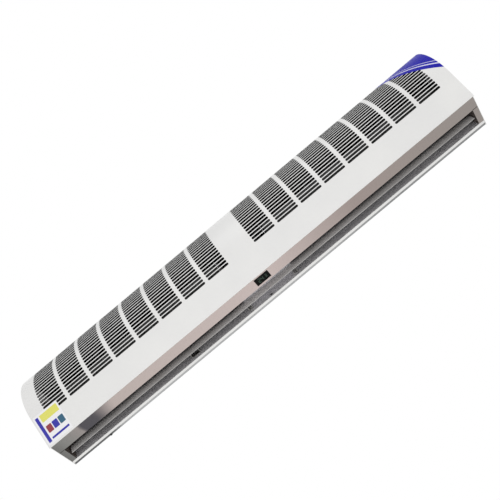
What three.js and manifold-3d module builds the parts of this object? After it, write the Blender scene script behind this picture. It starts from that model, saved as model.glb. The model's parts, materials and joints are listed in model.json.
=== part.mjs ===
// A wall-hung air curtain: a slotted sheet-steel case, two bladed cross-flow impellers on one twin-shaft
// motor, and a full-length vane in the outlet. Millimetres. X runs along the length, +Y points to the wall,
// +Z up, and the origin is the middle of the wall plate's back. Sections are drawn as the distance from the
// wall and the height above the underside.
import * as THREE from "three";
import { mergeVertices } from "three/addons/utils/BufferGeometryUtils.js";
import Module from "manifold-3d";

const wasm = await Module();
wasm.setup();

const FIT = 0.3; // clearance between pieces that touch
const OVERRUN = 1; // how far a cutting tool runs past the sheet that it cuts

// Case.
const LENGTH = 1500;
const HEIGHT = 230;
const DEPTH = 212;
const STAND_OFF = 11; // wall to the back of the case
const COVER_SHEET = 0.8;
const CASE_SHEET = 1.2;
const DUCT_SHEET = 1;
const FASCIA_ANGLE = THREE.MathUtils.degToRad(47.8); // slope of the flat fascia
const BELLY_RADIUS = 138;
const CORNER_RADIUS = 15;
const CORNER_STEPS = 4;
const TOP_LAP = 34; // width of the case's top flange under the cover
const END_RECESS = 3.2; // how far the cover stands past the end plates
const LIP_WIDTH = 10.5; // flat of the rear lip, from the opening to its joggle
const LIP_STEP = 3; // the joggle lifts the case's lower flange behind the lip

// Grille: panels of punched slots, in rows that climb from the fascia over the belly.
const FIRST_ROW = 80.8; // along the fascia, from the bottom edge to the first row
const ROW_PITCH = 9.7;
const FLAT_ROWS = 2; // rows below the bend
const SLOT_LENGTH = 72.6;
const SLOT_HEIGHT = 6.5;
const PANEL_GAP = 10.9;
const CENTRE_BLANK = 92.2;
const LEAST_MARGIN = 30; // blank sheet beyond the last panel

// Outlet in the underside.
const STRIP_DEPTH = 34.1; // polished strip from the front edge to the opening
const LIP_DEPTH = 17; // rear lip from the back to the opening
const END_STRIP = 21; // polished strip at each end of the opening
const STRIP_LIP = 12; // height of the strip's turned-up edge
const FLANGE = 12; // width of folded screw flanges
const THROAT = 40; // height of the blanking plate over the vane
const TONGUE_FOOT = 2; // straight foot of the tongue above the strip's lip
const CHEEK_LAP = 3; // duct's side walls past its front wall
const CHEEK_FOOT = 4; // straight front edge of the side walls above the strip's lip
const DUCT_DROP = 20; // rear and inner walls of the duct below the top of the case
const OUTER_CHEEK_DROP = 12;
const INNER_CHEEK_INSET = 11; // inner wall's front edge behind the impeller's

// Wall plate.
const PLATE_LENGTH = 1280;
const PLATE_HEIGHT = 130;
const PLATE_SHEET = 1.5;
const HOOK_X = [-560, -200, 200, 560];
const HOOK_WIDTH = 40;
const HOOK_RISE = 10;
const HOOK_DROP = 30; // hook below the plate's top edge
const HOOK_PLAY = 1; // hook to each side of its slot in the case
const HOOK_ENTRY = 3; // room under a hook as the case is lifted on
const WALL_SCREW_X = [-450, 0, 450];
const WALL_SCREW_RISE = 35; // wall screws above and below the plate's middle
const WALL_SCREW_HOLE = 4;

// Impellers and their drive line.
const AXIS_DEPTH = 88;
const AXIS_HEIGHT = 128;
const WHEEL_RADIUS = 55;
const BLADE_DEPTH = 12.4;
const BLADE_RIM = 0.8; // disc left outside the blade tips
const BLADE_SHEET = 1.1;
const BLADE_LEAN = 0.25; // radians from root to tip
const BLADES = 16;
const DISC_SHEET = 2;
const RING_WIDTH = 17;
const RINGS = 1; // stiffening rings between the end discs
const WHEEL_GAP = 7.3; // end disc to the outer cheek
const HUB_ROOM = 5; // inner cheek to the end disc
const DRIVE_SHAFT = 6;
const STUB_SHAFT = 5;
const STUB_SPIGOT = 10; // collar that fills the end disc's hole
const STUB_FLANGE = 18;
const STUB_PLATE = 2.5;
const STUB_TAIL = 3; // shaft beyond the bearing
const HUB_BOSS = 12;
const HUB_NECK = 14;
const HUB_FLANGE = 20;
const HUB_PLATE = 3;
const HUB_REACH = 7; // boss inside the end disc
const HUB_TAIL = 4; // neck inside the motor bay
const HUB_CLEAR = 4; // hub to the hole in the inner cheek
const ROUND_STEPS = 12;
const SMALL_STEPS = 6;
const RIM_STEPS = 20;

// Motor bay in the middle.
const BAY_HALF = 84; // middle of the unit to the inner cheek
const MOTOR_HALF = 55;
const MOTOR_RADIUS = 49;
const MOTOR_BARREL = 38.5; // half length of the motor's full-width barrel
const MOTOR_SHOULDER = 6; // how far the shell is drawn in towards its end
const MOTOR_CROWN = 4; // rounded end of the shell
const MOTOR_FACE = 23;
const MOTOR_NOSE = 15;
const NOSE_LENGTH = 9;
const RING_WALL = 7; // rubber ring round the motor's nose
const RING_LENGTH = 6;
const RING_GAP = 1.5; // motor's end to the ring
const ARM_GAP = 2.5; // motor's end to the cradle's arm
const ARM_SHEET = 4;
const ARM_RISE = 34;
const CRADLE_SHEET = 2;
const CRADLE_MARGIN = 6; // base above and below the arms
const CLAMP_WALL = 4.7;

// Bearings at the outer ends.
const BEARING_RADIUS = 11;
const BEARING_WIDTH = 7;
const BEARING_GAP = 0.7; // cheek to the bearing
const SEAT_RADIUS = 20;
const SEAT_INSET = 0.2; // seat's spigot behind the cheek's inner face
const SEAT_FLANGE = 26;
const SEAT_PLATE = 3;
const SEAT_NOSE = 1; // seat beyond the bearing
const CUP_RADIUS = 34;

// Vane and its pivots. The blade stands in front of its pivot line.
const VANE_AXIS_IN = 13.5; // opening's rear edge to the pivot line
const VANE_AXIS_HEIGHT = 19;
const VANE_WIDTH = 28.5;
const VANE_SHEET = 1.6;
const VANE_STANDS = 7.6;
const VANE_CAMBER = 1.5;
const VANE_END_GAP = 3.3;
const LUG_HALF = 3.5;
const LUG_WIDTH = 3;
const CLIP_SKIN = 1.6; // clip's plate on the back of the blade
const END_PIN = 2.5;
const MID_PIN = 2;
const PIN_PLAY = 0.5; // pin to its hole, all round
const PIN_TIP = 1; // pin past the wall that it turns in
const BRACKETS = {
  inner_left: { middle: -81, width: 14 },
  inner_right: { middle: 81, width: 14 },
  mid_left: { middle: -282, width: 30 },
};
const BRACKET_SHEET = 1.5;
const BRACKET_FOOT = 7; // foot above and below the pivot line
const BRACKET_EDGE = 0.5; // arm round the clip's lug
const BRACKET_SIDE = 0.6; // arm to the clip

// Display in the polished strip, and the parts of the control gear.
const WINDOW_WIDTH = 47;
const WINDOW_DEPTH = 24;
const WINDOW_EDGE = 4.4; // case's front edge to the window
const WINDOW_THICK = 2.6;
const WINDOW_RIM = 1.5;
const BOARD_THICK = 1.6;
const MODULE_WIDTH = 32;
const MODULE_DEPTH = 18;
const MODULE_THICK = 6;
const RECEIVER_WIDTH = 5;
const RECEIVER_DEPTH = 6;
const RECEIVER_GAP = 2; // digits to the infrared receiver
const DISPLAY_BOARD_WIDTH = 57;
const GEAR_INNER = 34; // middle to the control box and the capacitor
const GEAR_OUTER = 80;
const GEAR_DEPTH = 26;
const GEAR_HEIGHT = 34;
const GEAR_GAP = 2; // duct to the gear
const BOX_SHEET = 1;
const BOARD_DROP = 6; // control board below the box's rim
const RELAY = { inset: 4, width: 15, depth: 15, low: 6, height: 16 };
const FUSE = { inset: 8, width: 6, depth: 8, low: 4, height: 20 };
const TERMINALS = { ways: 5, pitch: 13.5, depth: 18, height: 22, rise: 9 }; // rise: above the cradle
const TERMINAL_WALL = 4.5; // between the wells, and above and below them
const TERMINAL_FLOOR = 8;
const GROMMET_X = 62;
const GROMMET_DROP = 28; // below the top of the case
const GROMMET_BORE = 5;
const GROMMET_HOLE = 9;
const GROMMET_FLANGE = 2;
const END_SCREW_HEAD = 4;
const END_SCREW_RIM = 1.3;
const END_SCREW_RISE = 2.2;
const END_SCREW_DOME = 1.4;
const END_SCREW_SHANK = 2;
const END_SCREW_LENGTH = 6;
const END_SCREW_PLAY = 0.6;
const END_SCREW_INSET = 8; // from the back of the case

// Places that follow from the sizes above.
const FASCIA_LENGTH = FIRST_ROW + (FLAT_ROWS - 0.5) * ROW_PITCH;
const BELLY_DEPTH = DEPTH - BELLY_RADIUS;
const FASCIA_TOP = BELLY_DEPTH + BELLY_RADIUS * Math.sin(FASCIA_ANGLE);
const FRONT_EDGE = FASCIA_TOP - FASCIA_LENGTH * Math.cos(FASCIA_ANGLE);
const BELLY_HEIGHT = FASCIA_LENGTH * Math.sin(FASCIA_ANGLE) + BELLY_RADIUS * Math.cos(FASCIA_ANGLE);
const BELLY_END = Math.acos((BELLY_HEIGHT + CORNER_RADIUS - HEIGHT) / (BELLY_RADIUS - CORNER_RADIUS));
const ROW_ANGLE = ROW_PITCH / BELLY_RADIUS;
const BELLY_ROWS = Math.floor((BELLY_END - FASCIA_ANGLE) / ROW_ANGLE);
const PANELS = Math.floor(
  (LENGTH / 2 - CENTRE_BLANK / 2 - LEAST_MARGIN + PANEL_GAP) / (SLOT_LENGTH + PANEL_GAP),
);
const BACK_FACE = STAND_OFF + CASE_SHEET;
const OUTLET_FRONT = FRONT_EDGE - STRIP_DEPTH;
const OUTLET_REAR = STAND_OFF + LIP_DEPTH;
const OUTLET_END = LENGTH / 2 - END_STRIP;
const CASE_END = LENGTH / 2 - END_RECESS - CASE_SHEET - FIT; // inner face of the end plates, less the fit
const CHEEK_FACE = OUTLET_END + FIT;
const WHEEL_INNER = BAY_HALF + DUCT_SHEET + HUB_ROOM;
const WHEEL_OUTER = CHEEK_FACE - WHEEL_GAP;
const VANE_AXIS_DEPTH = OUTLET_REAR + VANE_AXIS_IN;
const VANE_END = OUTLET_END - VANE_END_GAP;
const DUCT_FRONT = OUTLET_FRONT + DUCT_SHEET + FIT; // duct side of the tongue, behind the strip's lip

// Finishes.
const finish = (color, roughness, metalness) =>
  new THREE.MeshStandardMaterial({ color, roughness, metalness });
const WHITE_COAT = finish(0xe3e3e3, 0.4, 0);
const POLISHED_STEEL = finish(0xb8aba6, 0.15, 1);
const GALVANISED = finish(0x8b9096, 0.45, 1);
const GREY_LACQUER = finish(0xa29d9a, 0.4, 0);
const BLACK_LACQUER = finish(0x1a1b1d, 0.5, 0);
const STEEL = finish(0x8a8a88, 0.4, 1);
const DARK_RUBBER = finish(0x232323, 0.8, 0);
const BLACK_PLASTIC = finish(0x1d1d1e, 0.5, 0);
const BLACK_ACRYLIC = finish(0x0c0d0c, 0.1, 0);
const GREY_ENAMEL = finish(0x5d6164, 0.5, 0);
const BOARD_GREEN = finish(0x2c5a3a, 0.5, 0);
const WHITE_PLASTIC = finish(0xd8d8d4, 0.5, 0);

// A point of a section: distance from the wall, height above the underside.
const at = (depth, height) => new THREE.Vector2(-depth, height);

function solidOf(geometry) {
  const bare = geometry.index ? geometry.toNonIndexed() : geometry.clone();
  bare.deleteAttribute("normal");
  bare.deleteAttribute("uv");
  const merged = mergeVertices(bare, 1e-4);
  return new wasm.Manifold(
    new wasm.Mesh({
      numProp: 3,
      vertProperties: merged.getAttribute("position").array,
      triVerts: new Uint32Array(merged.index.array),
    }),
  );
}

function geometryOf(solid) {
  const { vertProperties, triVerts } = solid.getMesh();
  const geometry = new THREE.BufferGeometry();
  geometry.setAttribute("position", new THREE.BufferAttribute(vertProperties, 3));
  geometry.setIndex(new THREE.BufferAttribute(triVerts, 1));
  geometry.computeVertexNormals();
  return geometry;
}

const joined = (solids) => solids.reduce((whole, piece) => whole.add(piece));
const cut = (solid, tools) => (tools.length ? solid.subtract(joined(tools)) : solid);

// A section run along X between two places.
function runSection(points, fromX, toX, holes = []) {
  const outline = THREE.ShapeUtils.isClockWise(points) ? [...points].reverse() : points;
  const shape = new THREE.Shape(outline);
  shape.holes = holes.map((hole) => new THREE.Path(hole));
  const low = Math.min(fromX, toX);
  const geometry = new THREE.ExtrudeGeometry(shape, { depth: Math.abs(toX - fromX), bevelEnabled: false });
  const axes = new THREE.Matrix4().makeBasis(
    new THREE.Vector3(0, 1, 0),
    new THREE.Vector3(0, 0, 1),
    new THREE.Vector3(1, 0, 0),
  );
  geometry.applyMatrix4(axes.setPosition(low, 0, 0));
  return solidOf(geometry);
}

// A block between two X places, two distances from the wall and two heights.
function block(fromX, toX, rear, front, low, high) {
  const points = [at(rear, low), at(front, low), at(front, high), at(rear, high)];
  return runSection(points, fromX, toX);
}

function circle(depth, height, radius, steps = ROUND_STEPS) {
  const points = [];
  for (let i = 0; i < steps; i += 1) {
    const turn = ((i + 0.5) / steps) * 2 * Math.PI;
    points.push(at(depth + radius * Math.cos(turn), height + radius * Math.sin(turn)));
  }
  return points;
}

// A round piece about the X axis, from a closed outline of [radius, place along X].
function turned(outline, steps = ROUND_STEPS) {
  const loop = [...outline, outline[0]].map(([radius, x]) => new THREE.Vector2(radius, x));
  const geometry = new THREE.LatheGeometry(loop, steps, Math.PI / steps, 2 * Math.PI);
  const solid = solidOf(geometry.rotateZ(-Math.PI / 2));
  return solid.volume() > 0 ? solid : solidOf(flipped(geometry));
}

function flipped(geometry) {
  const order = geometry.index.array;
  for (let i = 0; i < order.length; i += 3) {
    [order[i + 1], order[i + 2]] = [order[i + 2], order[i + 1]];
  }
  return geometry;
}

// A bent sheet: the open line of its one face, thickened to the left of its direction.
function sheet(line, thickness) {
  const other = line.map((point, i) => {
    const before = line[Math.max(i - 1, 0)];
    const after = line[Math.min(i + 1, line.length - 1)];
    const into = i > 0 ? point.clone().sub(before).normalize() : after.clone().sub(point).normalize();
    const out = i < line.length - 1 ? after.clone().sub(point).normalize() : into;
    const mitre = into.clone().add(out).normalize();
    const reach = thickness / mitre.dot(into);
    return new THREE.Vector2(point.x - mitre.y * reach, point.y + mitre.x * reach);
  });
  return [...line, ...other.reverse()];
}

function named(name, solid, material) {
  const mesh = new THREE.Mesh(geometryOf(solid), material);
  mesh.name = name;
  return mesh;
}

// The cover's outline, set in from its outer face: fascia, belly, top corner, flat top.
function coverLine(inset) {
  const points = [at(FRONT_EDGE - inset / Math.sin(FASCIA_ANGLE), 0)];
  const belly = BELLY_RADIUS - inset;
  for (let row = 0; row <= BELLY_ROWS; row += 1) {
    const turn = FASCIA_ANGLE + row * ROW_ANGLE;
    points.push(at(BELLY_DEPTH + belly * Math.sin(turn), BELLY_HEIGHT - belly * Math.cos(turn)));
  }
  const corner = CORNER_RADIUS - inset;
  const shift = BELLY_RADIUS - CORNER_RADIUS;
  const cornerDepth = BELLY_DEPTH + shift * Math.sin(BELLY_END);
  const cornerHeight = BELLY_HEIGHT - shift * Math.cos(BELLY_END);
  for (let step = 0; step <= CORNER_STEPS; step += 1) {
    const turn = BELLY_END + ((Math.PI - BELLY_END) * step) / CORNER_STEPS;
    points.push(at(cornerDepth + corner * Math.sin(turn), cornerHeight - corner * Math.cos(turn)));
  }
  points.push(at(STAND_OFF, HEIGHT - inset));
  return points;
}

// Middle of each row on the cover's outer face, with the slope of the sheet there.
function grilleRows() {
  const rows = [];
  for (let row = 0; row < FLAT_ROWS; row += 1) {
    const along = FIRST_ROW + row * ROW_PITCH;
    rows.push({
      depth: FRONT_EDGE + along * Math.cos(FASCIA_ANGLE),
      height: along * Math.sin(FASCIA_ANGLE),
      slope: FASCIA_ANGLE,
    });
  }
  const flat = BELLY_RADIUS * Math.cos(ROW_ANGLE / 2);
  for (let row = 0; row < BELLY_ROWS; row += 1) {
    const slope = FASCIA_ANGLE + (row + 0.5) * ROW_ANGLE;
    rows.push({
      depth: BELLY_DEPTH + flat * Math.sin(slope),
      height: BELLY_HEIGHT - flat * Math.cos(slope),
      slope,
    });
  }
  return rows;
}

function panelStarts() {
  const starts = [];
  for (let i = 0; i < PANELS; i += 1) {
    const near = CENTRE_BLANK / 2 + i * (SLOT_LENGTH + PANEL_GAP);
    starts.push(near, -near - SLOT_LENGTH);
  }
  return starts;
}

function slotTool(row, startX) {
  const along = new THREE.Vector2(-Math.cos(row.slope), Math.sin(row.slope));
  const through = new THREE.Vector2(Math.sin(row.slope), Math.cos(row.slope));
  const corners = [
    [-1, -1],
    [1, -1],
    [1, 1],
    [-1, 1],
  ].map(([up, out]) =>
    at(row.depth, row.height)
      .addScaledVector(along, (up * SLOT_HEIGHT) / 2)
      .addScaledVector(through, 2 * out * COVER_SHEET),
  );
  return runSection(corners, startX, startX + SLOT_LENGTH);
}

function frontCover() {
  const section = [...coverLine(0), ...coverLine(COVER_SHEET).reverse()];
  const blank = runSection(section, -LENGTH / 2, LENGTH / 2);
  const tools = grilleRows().flatMap((row) => panelStarts().map((startX) => slotTool(row, startX)));
  return cut(blank, tools);
}

const plateTop = HEIGHT / 2 + PLATE_HEIGHT / 2;
const hookHeight = plateTop - HOOK_DROP;

function wallPlate() {
  const low = HEIGHT / 2 - PLATE_HEIGHT / 2;
  const reach = STAND_OFF - FIT;
  const section = [
    at(0, low),
    at(reach, low),
    at(reach, low + PLATE_SHEET),
    at(PLATE_SHEET, low + PLATE_SHEET),
    at(PLATE_SHEET, plateTop - PLATE_SHEET),
    at(reach, plateTop - PLATE_SHEET),
    at(reach, plateTop),
    at(0, plateTop),
  ];
  const channel = runSection(section, -PLATE_LENGTH / 2, PLATE_LENGTH / 2);
  const tip = BACK_FACE + FIT + PLATE_SHEET;
  const hooks = HOOK_X.map((x) => {
    const points = [
      at(PLATE_SHEET / 2, hookHeight),
      at(tip, hookHeight),
      at(tip, hookHeight + HOOK_RISE),
      at(tip - PLATE_SHEET, hookHeight + HOOK_RISE),
      at(tip - PLATE_SHEET, hookHeight + PLATE_SHEET),
      at(PLATE_SHEET / 2, hookHeight + PLATE_SHEET),
    ];
    return runSection(points, x - HOOK_WIDTH / 2, x + HOOK_WIDTH / 2);
  });
  const heights = [HEIGHT / 2 - WALL_SCREW_RISE, HEIGHT / 2 + WALL_SCREW_RISE];
  const holes = WALL_SCREW_X.flatMap((x) =>
    heights.map((height) => wallHole(x, height, WALL_SCREW_HOLE, [0, PLATE_SHEET], SMALL_STEPS)),
  );
  return cut(joined([channel, ...hooks]), holes);
}

// A round tool through a sheet that faces the wall.
function wallHole(x, height, radius, [rear, front], steps) {
  const tool = new THREE.CylinderGeometry(radius, radius, front - rear + 2 * OVERRUN, steps);
  tool.rotateY(Math.PI / steps);
  return solidOf(tool.translate(x, -(rear + front) / 2, height));
}

// The lower flange steps down from the back of the case to the lip.
const joggle = OUTLET_REAR - LIP_WIDTH;
const flangeTop = LIP_STEP + CASE_SHEET;

function rearCase() {
  const top = HEIGHT - COVER_SHEET - FIT;
  const section = [
    at(STAND_OFF, LIP_STEP),
    at(joggle, LIP_STEP),
    at(joggle, 0),
    at(OUTLET_REAR, 0),
    at(OUTLET_REAR, CASE_SHEET),
    at(joggle + CASE_SHEET, CASE_SHEET),
    at(joggle + CASE_SHEET, flangeTop),
    at(BACK_FACE, flangeTop),
    at(BACK_FACE, top - CASE_SHEET),
    at(STAND_OFF + TOP_LAP, top - CASE_SHEET),
    at(STAND_OFF + TOP_LAP, top),
    at(STAND_OFF, top),
  ];
  const sideFront = OUTLET_REAR - FIT;
  const outline = [
    at(STAND_OFF, LIP_STEP),
    at(joggle, LIP_STEP),
    at(joggle, 0),
    at(sideFront, 0),
    at(sideFront, top),
    at(STAND_OFF, top),
  ];
  const sides = [-1, 1].map((side) => runSection(outline, side * (CASE_END - CASE_SHEET), side * CASE_END));
  const slots = HOOK_X.map((x) => {
    const half = HOOK_WIDTH / 2 + HOOK_PLAY;
    const slotTop = hookHeight + PLATE_SHEET + FIT;
    const slotLow = slotTop - HOOK_RISE - HOOK_ENTRY;
    return block(x - half, x + half, STAND_OFF - OVERRUN, BACK_FACE + OVERRUN, slotLow, slotTop);
  });
  const inlet = wallHole(GROMMET_X, grommetHeight, GROMMET_HOLE, [STAND_OFF, BACK_FACE], ROUND_STEPS);
  const screws = [-1, 1].flatMap((side) => rearScrews().map((place) => screwHole(side, place)));
  return cut(joined([runSection(section, -CASE_END, CASE_END), ...sides]), [...slots, inlet, ...screws]);
}

const grommetHeight = HEIGHT - GROMMET_DROP;
const rearScrews = () => [
  [STAND_OFF + END_SCREW_INSET, HEIGHT / 4],
  [STAND_OFF + END_SCREW_INSET, (HEIGHT * 3) / 4],
];
const frameScrew = () => [(OUTLET_FRONT + OUTLET_REAR) / 2, FLANGE - END_SCREW_HEAD];

function screwHole(side, [depth, height]) {
  const hole = circle(depth, height, END_SCREW_SHANK + END_SCREW_PLAY, SMALL_STEPS);
  return runSection(hole, side * (CASE_END - 2 * CASE_SHEET), side * (CASE_END + 2 * CASE_SHEET));
}

function endPlate(side) {
  const inset = COVER_SHEET + FIT;
  const inner = side * (CASE_END + FIT);
  const outer = side * (LENGTH / 2 - END_RECESS);
  const outline = [...coverLine(inset), at(STAND_OFF, 0)];
  const belly = (extra) => coverLine(inset + extra).slice(1, BELLY_ROWS + 2);
  const flange = [...belly(0), ...belly(CASE_SHEET).reverse()];
  const plate = runSection(outline, inner, outer);
  const lap = runSection(flange, inner - side * FLANGE, inner + (side * CASE_SHEET) / 2);
  return cut(plate.add(lap), [...rearScrews(), frameScrew()].map((place) => screwHole(side, place)));
}

const windowMiddle = () => FRONT_EDGE - WINDOW_EDGE - WINDOW_DEPTH / 2;

// Polished front strip with its turned-up edges, and a leg at each end of the opening.
function outletFrame() {
  const inset = COVER_SHEET + FIT;
  const edge = FRONT_EDGE - inset / Math.sin(FASCIA_ANGLE);
  const rise = at(edge + FLANGE * Math.cos(FASCIA_ANGLE), FLANGE * Math.sin(FASCIA_ANGLE));
  const bend = sheet([at(OUTLET_FRONT, 0), at(edge, 0), rise], -DUCT_SHEET);
  const strip = runSection(bend, -CASE_END, CASE_END);
  const end = OUTLET_END - FIT;
  const lipFace = OUTLET_FRONT + DUCT_SHEET;
  const lip = block(-end, end, OUTLET_FRONT, lipFace, 0, STRIP_LIP);
  const legs = [-1, 1].flatMap((side) => [
    block(side * OUTLET_END, side * CASE_END, OUTLET_REAR + FIT, lipFace, 0, DUCT_SHEET),
    block(side * (CASE_END - CASE_SHEET), side * CASE_END, OUTLET_REAR + FIT, lipFace, 0, FLANGE),
  ]);
  const half = WINDOW_WIDTH / 2 + FIT;
  const middle = windowMiddle();
  const reach = WINDOW_DEPTH / 2 + FIT;
  const hole = block(-half, half, middle - reach, middle + reach, -OVERRUN, DUCT_SHEET + FIT);
  const screws = [-1, 1].map((side) => screwHole(side, frameScrew()));
  return cut(joined([strip, lip, ...legs]), [hole, ...screws]);
}

// Rear wall of the duct: a screw flange, a widening arc behind the impeller, a straight run to the lip.
const SCROLL_START = THREE.MathUtils.degToRad(112);
const SCROLL_GAP = 4; // tightest gap to the impeller
const SCROLL_WIDENS = 5;
const SCROLL_SETTLES = 5; // end of the arc to the throat's height
const SCROLL_STEPS = 6;
const ductTop = HEIGHT - DUCT_DROP;

function scroll(side) {
  const points = [
    at(BACK_FACE + FIT + DUCT_SHEET, ductTop),
    at(BACK_FACE + FIT + DUCT_SHEET, ductTop - FLANGE),
  ];
  for (let i = 0; i <= SCROLL_STEPS; i += 1) {
    const share = i / SCROLL_STEPS;
    const turn = SCROLL_START + share * (Math.PI - SCROLL_START);
    const radius = WHEEL_RADIUS + SCROLL_GAP + share * SCROLL_WIDENS;
    points.push(at(AXIS_DEPTH + radius * Math.cos(turn), AXIS_HEIGHT + radius * Math.sin(turn)));
  }
  points.push(at(OUTLET_REAR, THROAT + SCROLL_SETTLES), at(OUTLET_REAR, CASE_SHEET + FIT));
  const near = BAY_HALF + DUCT_SHEET + FIT;
  return runSection(sheet(points, DUCT_SHEET), side * near, side * OUTLET_END);
}

// Front wall of the duct: up from the strip, across to the impeller, and a rolled nose.
const TONGUE_ANGLE = THREE.MathUtils.degToRad(-52);
const TONGUE_GAP = 4.5;
const NOSE_RADIUS = 6;
const NOSE_TURN = THREE.MathUtils.degToRad(150);
const NOSE_STEPS = 5;

function tongue(side) {
  const reach = WHEEL_RADIUS + TONGUE_GAP;
  const tip = [AXIS_DEPTH + reach * Math.cos(TONGUE_ANGLE), AXIS_HEIGHT + reach * Math.sin(TONGUE_ANGLE)];
  const foot = [DUCT_FRONT, STRIP_LIP + TONGUE_FOOT];
  const slope = Math.atan2(tip[1] - foot[1], tip[0] - foot[0]);
  const points = [at(DUCT_FRONT, DUCT_SHEET + FIT), at(...foot)];
  const middle = [tip[0] + NOSE_RADIUS * Math.sin(slope), tip[1] - NOSE_RADIUS * Math.cos(slope)];
  for (let i = 0; i <= NOSE_STEPS; i += 1) {
    const turn = slope + Math.PI / 2 - (i / NOSE_STEPS) * NOSE_TURN;
    points.push(at(middle[0] + NOSE_RADIUS * Math.cos(turn), middle[1] + NOSE_RADIUS * Math.sin(turn)));
  }
  const near = BAY_HALF + DUCT_SHEET + FIT;
  return runSection(sheet(points, DUCT_SHEET), side * near, side * OUTLET_END);
}

const cheekLow = CASE_SHEET + FIT;

// The rear foot of a side wall, stepped over the case's lower flange.
const cheekHeel = () => [
  at(BACK_FACE + FIT, flangeTop + FIT),
  at(joggle + CASE_SHEET + FIT, flangeTop + FIT),
  at(joggle + CASE_SHEET + FIT, cheekLow),
];

// Side wall of the duct that carries a bearing.
function outerCheek(side) {
  const front = AXIS_DEPTH + WHEEL_RADIUS;
  const outline = [
    ...cheekHeel(),
    at(DUCT_FRONT + CHEEK_LAP, cheekLow),
    at(DUCT_FRONT + CHEEK_LAP, STRIP_LIP + CHEEK_FOOT),
    at(front, AXIS_HEIGHT - WHEEL_RADIUS / 2),
    at(front, AXIS_HEIGHT + WHEEL_RADIUS / 2),
    at(AXIS_DEPTH, HEIGHT - OUTER_CHEEK_DROP),
    at(BACK_FACE + FIT, HEIGHT - OUTER_CHEEK_DROP),
  ];
  const holes = [
    circle(AXIS_DEPTH, AXIS_HEIGHT, SEAT_RADIUS + FIT),
    circle(VANE_AXIS_DEPTH, VANE_AXIS_HEIGHT, END_PIN + PIN_PLAY, SMALL_STEPS),
  ];
  return runSection(outline, side * CHEEK_FACE, side * (CHEEK_FACE + DUCT_SHEET), holes);
}

// Side wall between the duct and the motor bay, open over the vane.
function innerCheek(side) {
  const front = AXIS_DEPTH + WHEEL_RADIUS - INNER_CHEEK_INSET;
  const heelFront = OUTLET_REAR - FIT - DUCT_SHEET;
  const outline = [
    ...cheekHeel(),
    at(heelFront, cheekLow),
    at(heelFront, THROAT + FIT),
    at(DUCT_FRONT + FIT, THROAT + FIT),
    at(DUCT_FRONT + FIT, cheekLow),
    at(DUCT_FRONT + CHEEK_LAP, cheekLow),
    at(DUCT_FRONT + CHEEK_LAP, STRIP_LIP + CHEEK_FOOT),
    at(front, AXIS_HEIGHT - HUB_FLANGE * 2),
    at(front, AXIS_HEIGHT + HUB_FLANGE * 2),
    at(AXIS_DEPTH, ductTop),
    at(BACK_FACE + FIT, ductTop),
  ];
  const hole = circle(AXIS_DEPTH, AXIS_HEIGHT, HUB_FLANGE + HUB_CLEAR);
  return runSection(outline, side * BAY_HALF, side * (BAY_HALF + DUCT_SHEET), [hole]);
}

// Channel that closes the throat under the motor, in line with the duct's two walls.
function blankingPlate() {
  const points = [
    at(OUTLET_REAR, CASE_SHEET + FIT),
    at(OUTLET_REAR, THROAT - DUCT_SHEET),
    at(DUCT_FRONT, THROAT - DUCT_SHEET),
    at(DUCT_FRONT, DUCT_SHEET + FIT),
  ];
  return runSection(sheet(points, -DUCT_SHEET), -BAY_HALF + FIT, BAY_HALF - FIT);
}

// A crescent blade in section, curved forward in the direction of rotation.
function bladeSection(turn) {
  const tip = WHEEL_RADIUS - BLADE_RIM;
  const line = [0, 0.5, 1].map((share) => {
    const radius = tip - BLADE_DEPTH * (1 - share);
    const angle = turn + BLADE_LEAN * share * share;
    return at(radius * Math.cos(angle), radius * Math.sin(angle));
  });
  return sheet(line, BLADE_SHEET);
}

function wheelDisc(middleX, thickness, bore) {
  const hole = circle(0, 0, bore, bore < WHEEL_RADIUS / 2 ? ROUND_STEPS : RIM_STEPS);
  const rim = circle(0, 0, WHEEL_RADIUS, RIM_STEPS);
  return runSection(rim, middleX - thickness / 2, middleX + thickness / 2, [hole]);
}

function impeller(side) {
  const inner = WHEEL_INNER + DISC_SHEET / 2;
  const outer = WHEEL_OUTER - DISC_SHEET / 2;
  const pieces = [
    wheelDisc(side * inner, DISC_SHEET, HUB_BOSS + FIT),
    wheelDisc(side * outer, DISC_SHEET, STUB_SPIGOT),
  ];
  for (let i = 1; i <= RINGS; i += 1) {
    const place = inner + ((outer - inner) * i) / (RINGS + 1);
    pieces.push(wheelDisc(side * place, BLADE_SHEET, WHEEL_RADIUS - RING_WIDTH));
  }
  for (let i = 0; i < BLADES; i += 1) {
    pieces.push(runSection(bladeSection((i / BLADES) * 2 * Math.PI), side * inner, side * outer));
  }
  return joined(pieces);
}

function motorBody() {
  const nose = MOTOR_HALF + NOSE_LENGTH;
  const bore = DRIVE_SHAFT + FIT;
  const half = [
    [MOTOR_RADIUS, MOTOR_BARREL],
    [MOTOR_RADIUS - MOTOR_SHOULDER, MOTOR_HALF - MOTOR_CROWN],
    [MOTOR_FACE, MOTOR_HALF],
    [MOTOR_NOSE, MOTOR_HALF],
    [MOTOR_NOSE, nose],
    [bore, nose],
  ];
  const mirrored = half.map(([radius, x]) => [radius, -x]).reverse();
  return turned([...half, ...mirrored]);
}

function motorRing() {
  const start = MOTOR_HALF + RING_GAP;
  return turned([
    [MOTOR_NOSE + FIT, start],
    [MOTOR_NOSE + RING_WALL, start],
    [MOTOR_NOSE + RING_WALL, start + RING_LENGTH],
    [MOTOR_NOSE + FIT, start + RING_LENGTH],
  ]);
}

const armStart = MOTOR_HALF + ARM_GAP;
const armEnd = armStart + ARM_SHEET;
const seatRadius = MOTOR_NOSE + RING_WALL + FIT;
const armLow = AXIS_HEIGHT - ARM_RISE;
const armHigh = AXIS_HEIGHT + ARM_RISE;

// The bore through both arms, for the rubber rings.
function motorSeat() {
  const reach = armEnd + OVERRUN;
  return runSection(circle(AXIS_DEPTH, AXIS_HEIGHT, seatRadius), -reach, reach);
}

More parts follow.
